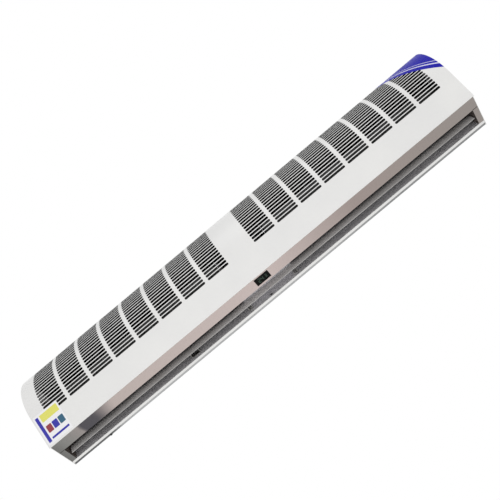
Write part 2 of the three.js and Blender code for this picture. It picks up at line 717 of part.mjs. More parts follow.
// Bracket on the back of the case with two arms that hold the motor's rubber rings.
function motorCradle() {
  const rear = BACK_FACE + FIT;
  const low = armLow - CRADLE_MARGIN;
  const high = armHigh + CRADLE_MARGIN;
  const face = AXIS_DEPTH - FIT / 2;
  const base = block(-armEnd, armEnd, rear, rear + CRADLE_SHEET, low, high);
  const root = rear + CRADLE_SHEET / 2;
  const outline = [at(root, low), at(face, armLow), at(face, armHigh), at(root, high)];
  const arms = [-1, 1].map((side) => runSection(outline, side * armStart, side * armEnd));
  return cut(joined([base, ...arms]), [motorSeat()]);
}

function motorClamp(side) {
  const face = AXIS_DEPTH + FIT / 2;
  const span = [side * armStart, side * armEnd];
  const ears = block(...span, face, face + CLAMP_WALL, armLow, armHigh);
  const ring = runSection(circle(AXIS_DEPTH, AXIS_HEIGHT, seatRadius + CLAMP_WALL), ...span);
  const front = block(...span, face, AXIS_DEPTH + 2 * seatRadius, 0, HEIGHT);
  return cut(ears.add(ring.intersect(front)), [motorSeat()]);
}

function hub() {
  const face = WHEEL_INNER - FIT;
  return turned([
    [DRIVE_SHAFT + FIT, BAY_HALF - HUB_TAIL],
    [HUB_NECK, BAY_HALF - HUB_TAIL],
    [HUB_NECK, face - HUB_PLATE],
    [HUB_FLANGE, face - HUB_PLATE],
    [HUB_FLANGE, face],
    [HUB_BOSS, face],
    [HUB_BOSS, face + HUB_REACH],
    [DRIVE_SHAFT + FIT, face + HUB_REACH],
  ]);
}

function motorShaft() {
  const half = WHEEL_INNER + HUB_REACH;
  return turned([
    [0, -half],
    [DRIVE_SHAFT, -half],
    [DRIVE_SHAFT, half],
    [0, half],
  ]);
}

const bearingStart = CHEEK_FACE + DUCT_SHEET + BEARING_GAP;
const bearingEnd = bearingStart + BEARING_WIDTH;

function stubShaft() {
  const face = WHEEL_OUTER + FIT;
  const spigotEnd = WHEEL_OUTER - 2 * DISC_SHEET;
  return turned([
    [0, spigotEnd],
    [STUB_SPIGOT - FIT, spigotEnd],
    [STUB_SPIGOT - FIT, face],
    [STUB_FLANGE, face],
    [STUB_FLANGE, face + STUB_PLATE],
    [STUB_SHAFT, face + STUB_PLATE],
    [STUB_SHAFT, bearingEnd + STUB_TAIL],
    [0, bearingEnd + STUB_TAIL],
  ]);
}

function endBearing() {
  return turned([
    [STUB_SHAFT + FIT, bearingStart],
    [BEARING_RADIUS, bearingStart],
    [BEARING_RADIUS, bearingEnd],
    [STUB_SHAFT + FIT, bearingEnd],
  ]);
}

// Rubber seat of a bearing: a spigot in the cheek's hole, a flange outside it, a nose round the bearing.
function bearingSeat() {
  const bore = BEARING_RADIUS + FIT;
  const start = CHEEK_FACE + SEAT_INSET;
  const flange = CHEEK_FACE + DUCT_SHEET + FIT;
  return turned([
    [bore, start],
    [SEAT_RADIUS, start],
    [SEAT_RADIUS, flange],
    [SEAT_FLANGE, flange],
    [SEAT_FLANGE, flange + SEAT_PLATE],
    [SEAT_RADIUS, flange + SEAT_PLATE],
    [SEAT_RADIUS, bearingEnd + SEAT_NOSE],
    [bore, bearingEnd + SEAT_NOSE],
  ]);
}

// Pressed cup that holds the rubber seat against the cheek.
function bearingCup() {
  const foot = CHEEK_FACE + DUCT_SHEET + FIT;
  const face = foot + SEAT_PLATE + FIT;
  return turned([
    [SEAT_RADIUS + FIT, face],
    [CUP_RADIUS - CASE_SHEET, face],
    [CUP_RADIUS - CASE_SHEET, foot],
    [CUP_RADIUS, foot],
    [CUP_RADIUS, face + CASE_SHEET],
    [SEAT_RADIUS + FIT, face + CASE_SHEET],
  ]);
}

// Blade of the vane, about its pivot line, bowed to the front.
function vaneBlade() {
  const line = [-1, -0.5, 0, 0.5, 1].map((share) =>
    at(VANE_STANDS + VANE_CAMBER * (1 - share * share) - VANE_SHEET / 2, (share * VANE_WIDTH) / 2),
  );
  return runSection(sheet(line, VANE_SHEET), -VANE_END, VANE_END);
}

// Height of the bowed blade's back over the lug's edges, less a fit.
const lugShare = (2 * LUG_HALF) / VANE_WIDTH;
const lugFront = VANE_STANDS + VANE_CAMBER * (1 - lugShare / 2) - VANE_SHEET / 2 - FIT;

// Clip at the vane's end, with the pin that turns in the cheek.
function endClip(side) {
  const outer = VANE_END - PIN_TIP;
  const inner = outer - 2 * LUG_WIDTH;
  const pinEnd = CHEEK_FACE + DUCT_SHEET + PIN_TIP;
  const lug = block(side * inner, side * outer, -LUG_HALF, lugFront, -LUG_HALF, LUG_HALF);
  const pin = runSection(circle(0, 0, END_PIN, SMALL_STEPS), side * inner, side * pinEnd);
  return lug.add(pin);
}

// Clip on the vane's back that stands between a bracket's arms, with a pin through both.
function midClip({ middle, width }) {
  const outer = width / 2 - BRACKET_SHEET - BRACKET_SIDE;
  const inner = outer - LUG_WIDTH;
  const lugs = [-1, 1].map((side) =>
    block(middle + side * inner, middle + side * outer, -LUG_HALF, lugFront, -LUG_HALF, LUG_HALF),
  );
  const back = block(middle - outer, middle + outer, lugFront - CLIP_SKIN, lugFront, -LUG_HALF, LUG_HALF);
  const reach = width / 2 + PIN_TIP;
  const pin = runSection(circle(0, 0, MID_PIN, SMALL_STEPS), middle - reach, middle + reach);
  return joined([...lugs, back, pin]);
}

// Bracket on the duct's rear wall: a foot, and two arms that hold a clip's pin.
function vaneBracket({ middle, width }) {
  const rear = OUTLET_REAR + FIT;
  const half = LUG_HALF + BRACKET_EDGE;
  const low = VANE_AXIS_HEIGHT - BRACKET_FOOT;
  const high = VANE_AXIS_HEIGHT + BRACKET_FOOT;
  const foot = block(middle - width / 2, middle + width / 2, rear, rear + BRACKET_SHEET, low, high);
  const root = rear + BRACKET_SHEET / 2;
  const outline = [at(root, VANE_AXIS_HEIGHT - half)];
  for (let i = 0; i <= SMALL_STEPS; i += 1) {
    const turn = -Math.PI / 2 + (i / SMALL_STEPS) * Math.PI;
    outline.push(at(VANE_AXIS_DEPTH + half * Math.cos(turn), VANE_AXIS_HEIGHT + half * Math.sin(turn)));
  }
  outline.push(at(root, VANE_AXIS_HEIGHT + half));
  const hole = circle(VANE_AXIS_DEPTH, VANE_AXIS_HEIGHT, MID_PIN + PIN_PLAY, SMALL_STEPS);
  const arms = [-1, 1].map((side) => {
    const face = middle + (side * width) / 2;
    return runSection(outline, face, face - side * BRACKET_SHEET, [hole]);
  });
  return joined([foot, ...arms]);
}

const stripTop = DUCT_SHEET + FIT;

// A block on the window's middle line, between two X places and two heights.
function behindWindow(fromX, toX, depth, low, high) {
  const middle = windowMiddle();
  return block(fromX, toX, middle - depth / 2, middle + depth / 2, low, high);
}

function displayWindow() {
  const half = WINDOW_WIDTH / 2;
  const rimHalf = half + WINDOW_RIM;
  const face = behindWindow(-half, half, WINDOW_DEPTH, 0, WINDOW_THICK);
  return face.add(behindWindow(-rimHalf, rimHalf, WINDOW_DEPTH + 2 * WINDOW_RIM, stripTop, WINDOW_THICK));
}

// The digits and the receiver share the window's width.
const moduleStart = -(MODULE_WIDTH + RECEIVER_GAP + RECEIVER_WIDTH) / 2;
const moduleLow = WINDOW_THICK + FIT;
const moduleTop = moduleLow + MODULE_THICK;

const displayModule = () =>
  behindWindow(moduleStart, moduleStart + MODULE_WIDTH, MODULE_DEPTH, moduleLow, moduleTop);

const receiver = () =>
  behindWindow(-moduleStart - RECEIVER_WIDTH, -moduleStart, RECEIVER_DEPTH, moduleLow, moduleTop);

function displayBoard() {
  const half = DISPLAY_BOARD_WIDTH / 2;
  const low = moduleTop + FIT;
  return behindWindow(-half, half, WINDOW_DEPTH, low, low + BOARD_THICK);
}

const gearRear = DUCT_FRONT + GEAR_GAP;

// Open steel tray for the control board; its lid laps over the rim.
function controlBox() {
  const front = gearRear + GEAR_DEPTH;
  const shell = block(GEAR_INNER, GEAR_OUTER, gearRear, front, stripTop, stripTop + GEAR_HEIGHT);
  const hollow = block(
    GEAR_INNER + BOX_SHEET,
    GEAR_OUTER - BOX_SHEET,
    gearRear + BOX_SHEET,
    front - BOX_SHEET,
    stripTop + BOX_SHEET,
    stripTop + GEAR_HEIGHT + OVERRUN,
  );
  return cut(shell, [hollow]);
}

function controlLid() {
  const low = stripTop + GEAR_HEIGHT + FIT;
  return block(GEAR_INNER, GEAR_OUTER, gearRear, gearRear + GEAR_DEPTH, low, low + BOX_SHEET);
}

function controlBoard() {
  const low = stripTop + BOX_SHEET + FIT;
  const rear = gearRear + BOX_SHEET + FIT;
  const inner = GEAR_INNER + BOX_SHEET + FIT;
  const outer = GEAR_OUTER - BOX_SHEET - FIT;
  const board = block(inner, outer, rear, rear + BOARD_THICK, low, low + GEAR_HEIGHT - BOARD_DROP);
  const mounted = (startX, { width, depth, low: foot, height }) =>
    block(startX, startX + width, rear + BOARD_THICK / 2, rear + depth, low + foot, low + foot + height);
  const relay = mounted(inner + RELAY.inset, RELAY);
  const fuse = mounted(outer - FUSE.inset - FUSE.width, FUSE);
  return joined([board, relay, fuse]);
}

// Motor capacitor: a can with an oblong foot, standing on the strip beside the display.
function capacitor() {
  const half = GEAR_DEPTH / 2;
  const shift = (GEAR_OUTER - GEAR_INNER) / 2 - half;
  const can = new THREE.Shape();
  can.absarc(shift, 0, half, -Math.PI / 2, Math.PI / 2);
  can.absarc(-shift, 0, half, Math.PI / 2, (3 * Math.PI) / 2);
  const settings = { depth: GEAR_HEIGHT, bevelEnabled: false, curveSegments: SMALL_STEPS };
  const geometry = new THREE.ExtrudeGeometry(can, settings);
  geometry.translate(-(GEAR_INNER + GEAR_OUTER) / 2, -gearRear - half, stripTop);
  return solidOf(geometry);
}

function terminalBlock() {
  const rear = BACK_FACE + FIT;
  const front = rear + TERMINALS.depth;
  const low = armHigh + CRADLE_MARGIN + TERMINALS.rise;
  const high = low + TERMINALS.height;
  const half = (TERMINALS.ways * TERMINALS.pitch) / 2;
  const wells = [];
  for (let i = 0; i < TERMINALS.ways; i += 1) {
    const start = -half + i * TERMINALS.pitch + TERMINAL_WALL / 2;
    const end = start + TERMINALS.pitch - TERMINAL_WALL;
    const floor = rear + TERMINAL_FLOOR;
    wells.push(block(start, end, floor, front + OVERRUN, low + TERMINAL_WALL, high - TERMINAL_WALL));
  }
  return cut(block(-half, half, rear, front, low, high), wells);
}

// Rubber grommet in the cable inlet, grooved round the sheet.
function cableGrommet() {
  const middle = (STAND_OFF + BACK_FACE) / 2;
  const half = CASE_SHEET / 2 + FIT;
  const neck = GROMMET_HOLE - FIT;
  const rim = GROMMET_HOLE + GROMMET_FLANGE;
  const end = half + GROMMET_FLANGE;
  const grommet = turned([
    [GROMMET_BORE, -end],
    [rim, -end],
    [rim, -half],
    [neck, -half],
    [neck, half],
    [rim, half],
    [rim, end],
    [GROMMET_BORE, end],
  ]);
  const mesh = named("cable_grommet", grommet, DARK_RUBBER);
  mesh.rotation.z = Math.PI / 2;
  mesh.position.set(GROMMET_X, -middle, grommetHeight);
  return mesh;
}

function endScrew() {
  const face = LENGTH / 2 - END_RECESS + FIT;
  const tip = CASE_END - END_SCREW_LENGTH;
  return turned(
    [
      [0, tip],
      [END_SCREW_SHANK, tip],
      [END_SCREW_SHANK, face],
      [END_SCREW_HEAD, face],
      [END_SCREW_HEAD, face + END_SCREW_RIM],
      [END_SCREW_HEAD - END_SCREW_DOME, face + END_SCREW_RISE],
      [0, face + END_SCREW_RISE],
    ],
    SMALL_STEPS,
  );
}

// A piece that is the same at both ends, turned about to face its own end.
function pair(name, solid, material) {
  return [
    ["left", Math.PI],
    ["right", 0],
  ].map(([end, turn]) => {
    const mesh = named(`${name}_${end}`, solid, material);
    mesh.rotation.z = turn;
    return mesh;
  });
}

function sided(name, make, material) {
  return [
    ["left", -1],
    ["right", 1],
  ].map(([end, side]) => named(`${name}_${end}`, make(side), material));
}

function endScrews() {
  const places = { rear_low: rearScrews()[0], rear_high: rearScrews()[1], frame: frameScrew() };
  return Object.entries(places).flatMap(([where, [depth, height]]) =>
    pair(`end_screw_${where}`, endScrew(), STEEL).map((mesh) => {
      mesh.position.set(0, -depth, height);
      return mesh;
    }),
  );
}

function driveLine() {
  const line = new THREE.Group();
  line.position.set(0, -AXIS_DEPTH, AXIS_HEIGHT);
  line.add(
    named("motor_body", motorBody(), GREY_ENAMEL),
    named("motor_shaft", motorShaft(), STEEL),
    ...pair("motor_ring", motorRing(), DARK_RUBBER),
    ...pair("wheel_hub", hub(), DARK_RUBBER),
    ...sided("impeller", impeller, BLACK_LACQUER),
    ...pair("stub_shaft", stubShaft(), STEEL),
    ...pair("end_bearing", endBearing(), STEEL),
    ...pair("bearing_seat", bearingSeat(), DARK_RUBBER),
    ...pair("bearing_cup", bearingCup(), GALVANISED),
  );
  return line;
}

// One piece for each of the vane's brackets.
function atBrackets(name, make, material) {
  return Object.entries(BRACKETS).map(([where, place]) => named(`${name}_${where}`, make(place), material));
}

function vane() {
  const hung = new THREE.Group();
  hung.position.set(0, -VANE_AXIS_DEPTH, VANE_AXIS_HEIGHT);
  hung.add(
    named("louvre_vane", vaneBlade(), GREY_LACQUER),
    ...sided("vane_clip_end", endClip, BLACK_PLASTIC),
    ...atBrackets("vane_clip", midClip, BLACK_PLASTIC),
  );
  return hung;
}

const unit = new THREE.Group();
unit.position.z = -HEIGHT / 2;
unit.add(
  named("wall_plate", wallPlate(), GALVANISED),
  named("rear_case", rearCase(), WHITE_COAT),
  named("front_cover", frontCover(), WHITE_COAT),
  ...sided("end_plate", endPlate, WHITE_COAT),
  named("outlet_frame", outletFrame(), POLISHED_STEEL),
  ...sided("scroll", scroll, GALVANISED),
  ...sided("tongue", tongue, GALVANISED),
  ...sided("outer_cheek", outerCheek, GALVANISED),
  ...sided("inner_cheek", innerCheek, GALVANISED),
  named("blanking_plate", blankingPlate(), GALVANISED),
  ...atBrackets("vane_bracket", vaneBracket, STEEL),
  vane(),
  driveLine(),
  named("motor_cradle", motorCradle(), GALVANISED),
  ...sided("motor_clamp", motorClamp, GALVANISED),
  named("display_window", displayWindow(), BLACK_ACRYLIC),
  named("display_module", displayModule(), BLACK_ACRYLIC),
  named("ir_receiver", receiver(), BLACK_ACRYLIC),
  named("display_board", displayBoard(), BOARD_GREEN),
  named("control_box", controlBox(), GALVANISED),
  named("control_lid", controlLid(), GALVANISED),
  named("control_board", controlBoard(), BOARD_GREEN),
  named("capacitor", capacitor(), WHITE_PLASTIC),
  named("terminal_block", terminalBlock(), WHITE_PLASTIC),
  cableGrommet(),
  ...endScrews(),
);

export default unit;
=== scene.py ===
# %% [markdown]
# # A wall-hung air curtain, seen from below and in front
#
# An air curtain hangs over a doorway and blows a flat sheet of air straight down. A white steel
# cover with punched slots wraps round two long bladed impellers. They share one motor in the
# middle, and the air leaves through a slot in the underside, past a tilting vane. The solids
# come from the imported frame, in metres. This file gives every surface its finish, and replaces a
# few solids with finer meshes: the slotted cover, the impellers, the vane, the display's window
# and the screws.

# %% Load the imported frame
import json
import math

import bmesh
import bpy
from mathutils import Matrix, Vector


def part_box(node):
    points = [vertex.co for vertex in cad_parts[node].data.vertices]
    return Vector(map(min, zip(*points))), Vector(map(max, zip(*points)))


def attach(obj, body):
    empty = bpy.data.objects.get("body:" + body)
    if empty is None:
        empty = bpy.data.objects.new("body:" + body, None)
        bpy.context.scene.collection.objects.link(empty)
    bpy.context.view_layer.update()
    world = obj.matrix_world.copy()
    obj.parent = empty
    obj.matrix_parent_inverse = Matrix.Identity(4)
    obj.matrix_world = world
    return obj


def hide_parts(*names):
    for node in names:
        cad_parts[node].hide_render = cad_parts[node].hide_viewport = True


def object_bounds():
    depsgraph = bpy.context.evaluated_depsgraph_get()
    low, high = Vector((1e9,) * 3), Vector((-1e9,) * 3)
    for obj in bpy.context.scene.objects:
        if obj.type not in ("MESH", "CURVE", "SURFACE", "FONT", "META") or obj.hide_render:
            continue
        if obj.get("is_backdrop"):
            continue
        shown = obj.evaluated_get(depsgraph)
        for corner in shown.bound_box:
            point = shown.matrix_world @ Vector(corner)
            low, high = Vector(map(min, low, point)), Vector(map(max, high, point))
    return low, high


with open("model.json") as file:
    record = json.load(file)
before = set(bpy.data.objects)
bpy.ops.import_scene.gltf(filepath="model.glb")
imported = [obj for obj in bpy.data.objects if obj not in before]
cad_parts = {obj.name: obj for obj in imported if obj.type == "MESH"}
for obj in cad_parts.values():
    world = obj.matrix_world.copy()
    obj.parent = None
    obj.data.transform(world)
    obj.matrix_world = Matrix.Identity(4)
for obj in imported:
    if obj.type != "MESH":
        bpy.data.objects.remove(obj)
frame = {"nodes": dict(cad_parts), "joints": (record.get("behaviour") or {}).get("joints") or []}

cad_low, cad_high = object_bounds()
nodes = frame["nodes"]
print("nodes:", len(nodes), "size:", [round(v, 4) for v in cad_high - cad_low])

# %% [markdown]
# ## Where things are
#
# X runs along the unit, +Y goes into the wall and +Z is up. A section of the unit is easier to
# think of as a distance from the wall and a height above the underside, so every profile below
# is written that way and turned into Y and Z by one function. The sizes that two pieces share
# are read from the frame, so a piece that replaces a solid stays where the solid is.

# %% Sections: distance from the wall and height above the underside
UNDERSIDE = cad_low.z
LENGTH = cad_high.x - cad_low.x


def at(depth, height):
    """A point of a section as (Y, Z)."""
    return (-depth, UNDERSIDE + height)


def span(node):
    """A node's extent as {"x": (low, high), "depth": (rear, front), "height": (low, high)}."""
    low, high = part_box(node)
    return {
        "x": (low[0], high[0]),
        "depth": (-high[1], -low[1]),
        "height": (low[2] - UNDERSIDE, high[2] - UNDERSIDE),
    }


for name in ("front_cover", "louvre_vane", "impeller_right", "display_window"):
    print(name, {key: [round(v, 4) for v in value] for key, value in span(name).items()})

# %% [markdown]
# ## Colours and nodes
#
# Paint charts and colour pickers give sRGB values, but a renderer adds light in linear values,
# so each hex colour goes through one function. A second small function adds a shader node, sets
# it and links it in one call, which keeps the materials short enough to read. Many finishes vary
# in one way: a single grain, such as dust, peel or mould texture, moves the tone, and often the
# gloss or the relief with it. The last function here makes such a finish from one noise texture.

# %% Helpers for materials
# A Mix node has sockets for each kind of data. These are the numbers of those for colour.
MIX_A = 6
MIX_B = 7
MIX_RESULT = 2


def srgb(hex_colour):
    """An sRGB hex colour as linear RGBA."""
    channels = [int(hex_colour[i : i + 2], 16) / 255 for i in (1, 3, 5)]
    linear = [c / 12.92 if c <= 0.04045 else ((c + 0.055) / 1.055) ** 2.4 for c in channels]
    return (*linear, 1.0)


def add_node(tree, kind, settings=None, values=None, links=None):
    """Adds one node: settings are its attributes, values its sockets, links what feeds them."""
    node = tree.nodes.new(kind)
    for key, value in (settings or {}).items():
        setattr(node, key, value)
    for key, value in (values or {}).items():
        node.inputs[key].default_value = value
    for key, source in (links or {}).items():
        tree.links.new(source, node.inputs[key])
    return node


def new_finish(name):
    """An empty material and its node tree."""
    material = bpy.data.materials.new(name)
    material.use_nodes = True
    material.node_tree.nodes.clear()
    return material, material.node_tree


def put_out(tree, shader):
    """Ends a material."""
    add_node(tree, "ShaderNodeOutputMaterial", links={"Surface": shader.outputs[0]})


def set_tones(ramp, tones):
    """Sets a colour ramp's stops, in order, from pairs of a place and an sRGB hex colour."""
    stops = ramp.color_ramp.elements
    while len(stops) < len(tones):
        stops.new(1.0)
    for stop, (share, colour) in zip(stops, tones):
        stop.position = share
        stop.color = srgb(colour)


def grained_finish(
    name, grain, detail, tones, values, gloss=None, relief=None, coloured=("Base Color",)
):
    """A material whose tone, and where given its gloss and relief, follow one noise."""
    material, tree = new_finish(name)
    coordinates = add_node(tree, "ShaderNodeTexCoord")
    noise = add_node(
        tree,
        "ShaderNodeTexNoise",
        values={"Scale": 1 / grain, "Detail": detail},
        links={"Vector": coordinates.outputs["Object"]},
    )
    tone = add_node(tree, "ShaderNodeValToRGB", links={"Fac": noise.outputs["Fac"]})
    set_tones(tone, tones)
    links = {socket: tone.outputs["Color"] for socket in coloured}
    if gloss:
        smoothness = add_node(
            tree,
            "ShaderNodeMapRange",
            values={"To Min": gloss[0], "To Max": gloss[1]},
            links={"Value": noise.outputs["Fac"]},
        )
        links["Roughness"] = smoothness.outputs["Result"]
    if relief:
        bump = add_node(
            tree,
            "ShaderNodeBump",
            values={"Strength": relief[0], "Distance": relief[1]},
            links={"Height": noise.outputs["Fac"]},
        )
        links["Normal"] = bump.outputs["Normal"]
    put_out(tree, add_node(tree, "ShaderNodeBsdfPrincipled", values=values, links=links))
    print(name, "with a grain of", round(grain * 1000, 2), "mm")
    return material


print("polyester white in linear light:", [round(v, 3) for v in srgb("#E3E3E3")])

# %% [markdown]
# ## The camera
#
# The photograph looks up at the unit from below and in front, and the frame is rolled so that
# the unit runs from the lower left corner to the upper right. The pose was worked out by fitting
# the corners, the slot panels and the outlet's edges. It is written as a designer would say it:
# a point to aim at, how steeply the camera looks up, a slight turn, and a roll.

# %% Place the camera
PHOTO_PIXELS = 500
FOCAL_PIXELS = 647.6
SENSOR = 36.0
AIM = Vector((0.0074, -0.110, UNDERSIDE + 0.090))
DISTANCE = 1.8342
LOOK_UP = math.radians(57.28)
TURN = math.radians(-1.712)
ROLL = math.radians(39.84)
SLIDE_RIGHT = 0.0137
SLIDE_UP = 0.0202

level_right = Vector((1, 0, 0))
level_view = Vector((0, math.cos(LOOK_UP), math.sin(LOOK_UP)))
level_up = level_right.cross(level_view)
right = math.cos(TURN) * level_right - math.sin(TURN) * level_view
back = -math.sin(TURN) * level_right - math.cos(TURN) * level_view
place = AIM + DISTANCE * back + SLIDE_UP * level_up + SLIDE_RIGHT * right
image_right = math.cos(ROLL) * right - math.sin(ROLL) * level_up
image_up = math.sin(ROLL) * right + math.cos(ROLL) * level_up

camera_data = bpy.data.cameras.new("photo_camera")
camera_data.sensor_width = SENSOR
camera_data.lens = SENSOR * FOCAL_PIXELS / PHOTO_PIXELS
camera_data.clip_start = 0.01
camera_data.clip_end = 100
camera = bpy.data.objects.new("photo_camera", camera_data)
bpy.context.scene.collection.objects.link(camera)
turned = Matrix((image_right, image_up, back)).transposed().to_4x4()
camera.matrix_world = Matrix.Translation(place) @ turned
bpy.context.scene.camera = camera
print("camera at", [round(v, 3) for v in place], "lens", round(camera_data.lens, 2), "mm")

# %% [markdown]
# ## Floor, sky and lamps
#
# The unit hangs over a doorway, so the pale floor lies 2.2 m below it and the camera looks up
# past it. The photograph's background is plain white. The world is therefore white to the camera
# and in reflections, and gives the surfaces a softer, dimmer light. A wide lamp in front and
# above shapes the rounded cover, and another straight below lights the underside.

# %% Floor
FLOOR_BELOW = 2.2
FLOOR_SIZE = 30.0
TROWEL_SWEEP = 0.8

floor_mesh = bpy.data.meshes.new("floor")
half = FLOOR_SIZE / 2
corners = [(-half, -half), (half, -half), (half, half), (-half, half)]
floor_mesh.from_pydata([(x, y, UNDERSIDE - FLOOR_BELOW) for x, y in corners], [], [(0, 1, 2, 3)])
floor = bpy.data.objects.new("floor", floor_mesh)
bpy.context.scene.collection.objects.link(floor)
floor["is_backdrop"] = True

screed = grained_finish(
    "pale floor screed",
    TROWEL_SWEEP,
    3.0,
    ((0.0, "#EBEAE8"), (1.0, "#F1F0EE")),
    {"Roughness": 0.8, "IOR": 1.5},
)
floor_mesh.materials.append(screed)
print("floor at", round(UNDERSIDE - FLOOR_BELOW, 3))

# %% World and lamps
WORLD_STRENGTH = 0.84
UNIT_MIDDLE = Vector((0, -0.1, 0))

world = bpy.data.worlds.new("studio")
bpy.context.scene.world = world
world.use_nodes = True
tree = world.node_tree
tree.nodes.clear()
path = add_node(tree, "ShaderNodeLightPath")
seen = add_node(
    tree,
    "ShaderNodeMath",
    settings={"operation": "MAXIMUM"},
    links={0: path.outputs["Is Camera Ray"], 1: path.outputs["Is Glossy Ray"]},
)
seen = add_node(
    tree,
    "ShaderNodeMath",
    settings={"operation": "MAXIMUM"},
    links={0: seen.outputs[0], 1: path.outputs["Is Transmission Ray"]},
)
soft = add_node(
    tree, "ShaderNodeBackground", values={"Color": srgb("#F7F7F7"), "Strength": WORLD_STRENGTH}
)
white = add_node(tree, "ShaderNodeBackground", values={"Color": (1, 1, 1, 1), "Strength": 1.0})
mixed = add_node(
    tree,
    "ShaderNodeMixShader",
    links={"Fac": seen.outputs[0], 1: soft.outputs[0], 2: white.outputs[0]},
)
add_node(tree, "ShaderNodeOutputWorld", links={"Surface": mixed.outputs[0]})


def lamp(name, place, watts, width, height):
    """A soft rectangular lamp that faces the unit."""
    data = bpy.data.lights.new(name, "AREA")
    data.shape = "RECTANGLE"
    data.size = width
    data.size_y = height
    data.energy = watts
    item = bpy.data.objects.new(name, data)
    item.location = place
    item.rotation_mode = "QUATERNION"
    item.rotation_quaternion = (UNIT_MIDDLE - Vector(place)).to_track_quat("-Z", "Y")
    bpy.context.scene.collection.objects.link(item)
    return item


lamps = [
    lamp("front_softbox", place=(0.2, -2.6, 0.9), watts=14.5, width=2.8, height=1.4),
    lamp("low_softbox", place=(-0.1, -0.5, -2.1), watts=17, width=2.4, height=1.2),
]
print("lamps:", {item.name: item.data.energy for item in lamps})

# %% [markdown]
# ## White powder coat
#
# The case is mild steel sheet, sprayed with white polyester powder and baked. The powder melts
# into a skin about 0.08 mm thick with a very faint orange peel, ripples of some 2 mm. It is a
# plastic film, so it isn't metallic, its IOR is about 1.5 and it has a soft satin gloss. Two
# noises give the peel and a slow drift in tone, as hands and dust leave on a hung unit.

# %% Powder coat
PEEL_SIZE = 0.0022
DRIFT_SIZE = 0.18


def coat_nodes(tree, dark, light):
    """The shader of a sprayed and baked coat between two tones."""
    coordinates = add_node(tree, "ShaderNodeTexCoord")
    drift = add_node(
        tree,
        "ShaderNodeTexNoise",
        values={"Scale": 1 / DRIFT_SIZE, "Detail": 4.0},
        links={"Vector": coordinates.outputs["Object"]},
    )
    tone = add_node(tree, "ShaderNodeValToRGB", links={"Fac": drift.outputs["Fac"]})
    set_tones(tone, ((0.3, dark), (0.7, light)))
    gloss = add_node(
        tree,
        "ShaderNodeMapRange",
        values={"To Min": 0.34, "To Max": 0.44},
        links={"Value": drift.outputs["Fac"]},
    )
    peel = add_node(
        tree,
        "ShaderNodeTexNoise",
        values={"Scale": 1 / PEEL_SIZE, "Detail": 1.0},
        links={"Vector": coordinates.outputs["Object"]},
    )
    ripple = add_node(
        tree,
        "ShaderNodeBump",
        values={"Strength": 0.12, "Distance": 0.00008},
        links={"Height": peel.outputs["Fac"]},
    )
    return add_node(
        tree,
        "ShaderNodeBsdfPrincipled",
        values={"IOR": 1.5},
        links={
            "Base Color": tone.outputs["Color"],
            "Roughness": gloss.outputs["Result"],
            "Normal": ripple.outputs["Normal"],
        },
    )


WHITE_TONES = ("#DFDFDF", "#E5E5E4")
powder_coat, tree = new_finish("white polyester powder coat")
put_out(tree, coat_nodes(tree, *WHITE_TONES))
# Inside the cover: a black back coat, which also stands as painted shade for the dark inside the
# case.
back_coat_and_shade, tree = new_finish("black back coat and painted shade inside the cover")
put_out(tree, coat_nodes(tree, "#0A0A0B", "#111112"))
vane_coat, tree = new_finish("silver-grey lacquer on aluminium")
put_out(tree, coat_nodes(tree, "#B0AEAD", "#C2C0BF"))
print("orange peel", PEEL_SIZE * 1000, "mm")

# %% [markdown]
# ## A blue film over one corner
#
# A film is stuck across the upper right corner of the photographed cover, slots and all. Here it
# is a plain blue sash with two pale stripes. The cover is bent from a flat blank, and on that
# blank the film's edges are straight lines that climb towards the middle of the unit. So the
# place up the sheet plus a share of the place along it is one number all along such a line, and
# that number is all that the pattern needs: between two values there is film, near two others
# there are stripes. Vinyl is a glossy plastic film, and small bubbles under it mottle the blue.

# %% Film
FILM_SLOPE = 0.9
FILM_EDGE = 0.7915
FILM_WIDTH = 0.16
STRIPES = ((0.8115, 0.0026), (0.8245, 0.0012))
BUBBLE_SIZE = 0.016


def film_place(tree):
    """How far up the film a point of the blank lies."""
    places = add_node(tree, "ShaderNodeUVMap", settings={"uv_map": "blank"})
    split = add_node(tree, "ShaderNodeSeparateXYZ", links={"Vector": places.outputs["UV"]})
    return add_node(
        tree,
        "ShaderNodeMath",
        settings={"operation": "MULTIPLY_ADD"},
        values={1: FILM_SLOPE},
        links={0: split.outputs["X"], 2: split.outputs["Y"]},
    )


def film_nodes(tree, place):
    """The film's shader: mottled blue with pale stripes."""
    coordinates = add_node(tree, "ShaderNodeTexCoord")
    bubbles = add_node(
        tree,
        "ShaderNodeTexNoise",
        values={"Scale": 1 / BUBBLE_SIZE, "Detail": 3.0},
        links={"Vector": coordinates.outputs["Object"]},
    )
    tone = add_node(tree, "ShaderNodeValToRGB", links={"Fac": bubbles.outputs["Fac"]})
    set_tones(tone, ((0.0, "#130F9A"), (1.0, "#241FAE")))
    printed = tone.outputs["Color"]
    for middle, half_width in STRIPES:
        stripe = add_node(
            tree,
            "ShaderNodeMath",
            settings={"operation": "COMPARE"},
            values={1: middle, 2: half_width},
            links={0: place.outputs[0]},
        )
        mixed = add_node(
            tree,
            "ShaderNodeMix",
            settings={"data_type": "RGBA"},
            values={MIX_B: srgb("#D8D8EE")},
            links={0: stripe.outputs[0], MIX_A: printed},
        )
        printed = mixed.outputs[MIX_RESULT]
    return add_node(
        tree,
        "ShaderNodeBsdfPrincipled",
        values={"Roughness": 0.4, "IOR": 1.4, "Specular IOR Level": 0.2},
        links={"Base Color": printed},
    )


blue_film, tree = new_finish("blue vinyl film")
put_out(tree, film_nodes(tree, film_place(tree)))

